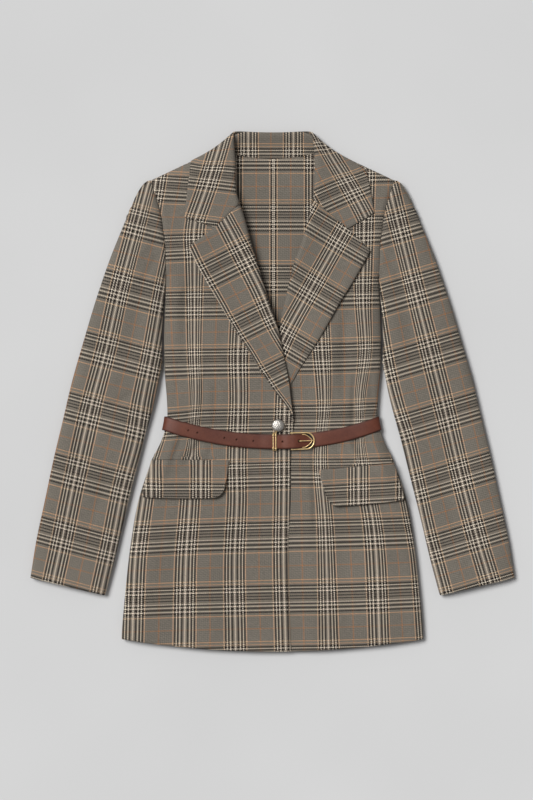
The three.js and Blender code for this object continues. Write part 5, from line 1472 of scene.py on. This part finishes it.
def prong():
    left, right, bar, thick = BUCKLE["left"], BUCKLE["right"], BUCKLE["bar"], BUCKLE["thick"]
    rim_top = BUCKLE_BASE + thick + 0.94
    strap_z = float(loose_end(PRONG_HOLE))
    strap_top = strap_z + BELT_THICK + 0.9
    # from the bar it passes under the strap, up through the hole, and down to the rim
    rows = [(left + bar + 0.3, BUCKLE_BASE + 0.9), (left + bar + 4.5, strap_z - 1.4),
            (PRONG_HOLE - 1.3, strap_z - 1.2), (PRONG_HOLE - 0.2, strap_z + 0.6),
            (PRONG_HOLE + 0.9, max(strap_top, rim_top - 0.3)),
            ((PRONG_HOLE + right) / 2, max(strap_top, rim_top + 0.2)), (right - 1.4, rim_top)]
    xs = np.array([r[0] for r in rows])
    zs = np.array([r[1] for r in rows])
    s = np.concatenate([[0], np.cumsum(np.hypot(np.diff(xs), np.diff(zs)))])
    fine = np.linspace(0, s[-1], 40)
    x = curve(np.column_stack([s, xs]).tolist())(fine)
    z = curve(np.column_stack([s, zs]).tolist())(fine)
    path = turned_with_belt(np.column_stack([x, np.zeros_like(x), z]))
    return metal_piece("prong pin", "buckle_prong", [tube(path, 0.72)], brass)


buckle()
prong()


# %% Keeper
def ball(x, y, z, radius):
    ring = np.linspace(-np.pi / 2, np.pi / 2, 9)[1:-1]
    path = np.column_stack([np.full(7, x), y + radius * np.sin(ring), np.full(7, z)])
    return tube(path, radius * np.cos(ring), sides=12)


def keeper():
    y = float(belt_y(KEEPER_X))
    top = float(max(loose_end(KEEPER_X - 4), loose_end(KEEPER_X), loose_end(KEEPER_X + 5)))
    top = top + BELT_THICK + 0.75
    low = float(min(lower_strap(KEEPER_X - 3), lower_strap(KEEPER_X + 3))) - 0.75
    parts = []
    for side in (-1, 1):
        x = KEEPER_X + side * 1.9
        ends = KEEPER_HALF - 0.6
        path = [(x, y - ends, low), (x, y - ends - 0.2, (low + top) / 2), (x, y - ends + 0.2, top - 0.1)]
        path += [(x, y + t, top) for t in np.linspace(-ends + 1.2, ends - 1.2, 16)]
        path += [(x, y + ends - 0.2, top - 0.1), (x, y + ends + 0.2, (low + top) / 2), (x, y + ends, low)]
        parts.append(tube(path, 0.9))
        parts += [ball(x, y + way * (ends - 2.9), top + 0.4, 1.8) for way in (-1, 1)]
    for way in (-1, 1):
        across = [(KEEPER_X + t, y + way * (KEEPER_HALF - 0.6), low) for t in np.linspace(-2.2, 2.2, 6)]
        parts.append(tube(across, 0.8))
    link = [(KEEPER_X + 2.2, y + KEEPER_HALF - 0.6, top - 0.4),
            (KEEPER_X + 2.6, y + KEEPER_HALF + 2.5, low + 1.6),
            (KEEPER_X + 3.2, y + KEEPER_HALF + 6, low + 1.4)]
    parts.append(tube(link, 1.0))
    return metal_piece("keeper rails", "belt_keeper", parts, brass)


keeper()

# %% [markdown]
# ## The button
# A domed shank button, 19 mm across, cast with a beaten face. Its facets are modelled, because each
# one catches the light by itself: the dome is pressed with shallow round dents set out in a spiral.

# %% Button
BUTTON = dict(x=8.3, y=-52.5, radius=9.5, height=7, shank=3.6)
DENTS, DENT_REACH, DENT_DEPTH = 60, 0.13, 0.42


def button():
    x, y, radius, height = BUTTON["x"], BUTTON["y"], BUTTON["radius"], BUTTON["height"]
    base = float(np.max(right_face(np.array([x - 9, x, x + 9]), np.array([y, y, y])))) + SEAM
    rings, sides, rim = 40, 96, 2.8
    golden = math.pi * (3 - math.sqrt(5))
    dents = [(0.97 * math.sqrt((k + 0.5) / DENTS), k * golden) for k in range(DENTS)]
    centres = np.array([(r * math.cos(a), r * math.sin(a)) for r, a in dents])
    share = np.sin(np.linspace(0, np.pi / 2, rings))[:, None]
    angle = np.linspace(0, 2 * np.pi, sides, endpoint=False)
    px, py = share * np.cos(angle), share * np.sin(angle)
    dome = rim + (height - rim) * np.sqrt(np.maximum(0, 1 - share ** 2)) + 0 * px
    near = np.sort(np.hypot(px[..., None] - centres[:, 0], py[..., None] - centres[:, 1]), -1)
    dome = dome + DENT_DEPTH * np.minimum(0, (near[..., 0] / DENT_REACH) ** 2 - 1) * (1 - share ** 8)
    face = grid_of(px * radius, py * radius, dome)[1:]
    verts = [np.array([[0, 0, float(dome[0, 0])]]), face.reshape(-1, 3)]
    below = [(radius, rim - 0.5), (radius - 0.5, rim - 1.0), (4.2, rim - 1.1), (BUTTON["shank"], rim - 1.4),
             (BUTTON["shank"], 0.1)]
    for r, z in below:
        verts.append(np.column_stack([r * np.cos(angle), r * np.sin(angle), np.full(sides, z)]))
    verts = np.vstack(verts)
    faces = [(0, 1 + j, 1 + (j + 1) % sides) for j in range(sides)]
    total = rings - 1 + len(below)
    for i in range(total - 1):
        for j in range(sides):
            a, b = 1 + i * sides + j, 1 + i * sides + (j + 1) % sides
            faces.append((a, a + sides, b + sides, b))
    faces.append(tuple(1 + (total - 1) * sides + j for j in range(sides))[::-1])
    verts += np.array([x, y, base])
    return metal_piece("front button", "button", [(verts, faces)], white_metal)


button()

# %% [markdown]
# ## Floor, light and camera
# A pale table top, a large soft window from the upper left and an even sky are what the picture
# shows: the shadows are short and soft. The camera looks straight down through a long lens.

# %% Floor
def floor():
    size = 9000
    verts = [(-size, -size, -0.4), (size, -size, -0.4), (size, size, -0.4), (-size, size, -0.4)]
    material, tree, surface = new_material("matt painted board", Roughness=0.95, Specular_IOR_Level=0.0)
    place = add(tree, "ShaderNodeTexCoord")
    slow = add(tree, "ShaderNodeTexNoise", {"Vector": place.outputs["Object"]}, in_Scale=3.0)
    tone = add(tree, "ShaderNodeValToRGB", {0: slow.outputs[0]})
    fill_ramp(tone.color_ramp, [(0.3, linear("#cfcfcf")), (0.7, linear("#d3d3d3"))], "LINEAR")
    tree.links.new(tone.outputs[0], surface.inputs["Base Color"])
    new_piece("table top", verts, [(0, 1, 2, 3)], None, material)


floor()


# %% Light
SKY, SUN, SUN_SPREAD = 0.26, 2.98, 30


def light():
    world = bpy.data.worlds.new("soft room")
    world.use_nodes = True
    bpy.context.scene.world = world
    world.node_tree.nodes["Background"].inputs[0].default_value = (1.0, 1.0, 1.0, 1.0)
    world.node_tree.nodes["Background"].inputs[1].default_value = SKY
    sun = bpy.data.lights.new("window", "SUN")
    sun.energy, sun.angle = SUN, math.radians(SUN_SPREAD)
    lamp = bpy.data.objects.new("window", sun)
    # the light leans 35 degrees from straight above, towards the upper left
    lamp.rotation_euler = (math.radians(-19), math.radians(-30), 0)
    bpy.context.scene.collection.objects.link(lamp)
    bpy.context.scene.view_settings.view_transform = "Standard"


light()


# %% Camera
def camera():
    lens = bpy.data.cameras.new("long lens")
    # 36 / 150 of the 5 m to the cloth is 1.2 m, the picture's height of 800 px at 1.5 mm each
    lens.sensor_width, lens.lens = 36, 150
    lens.clip_end = 50
    eye = bpy.data.objects.new("camera", lens)
    # it hangs over the picture's middle, 5 m above the height of the cloth
    eye.location = (-0.009, -0.01425, 5.0 + 0.018)
    bpy.context.scene.collection.objects.link(eye)
    bpy.context.scene.camera = eye


camera()

# %% The end
bpy.context.view_layer.update()
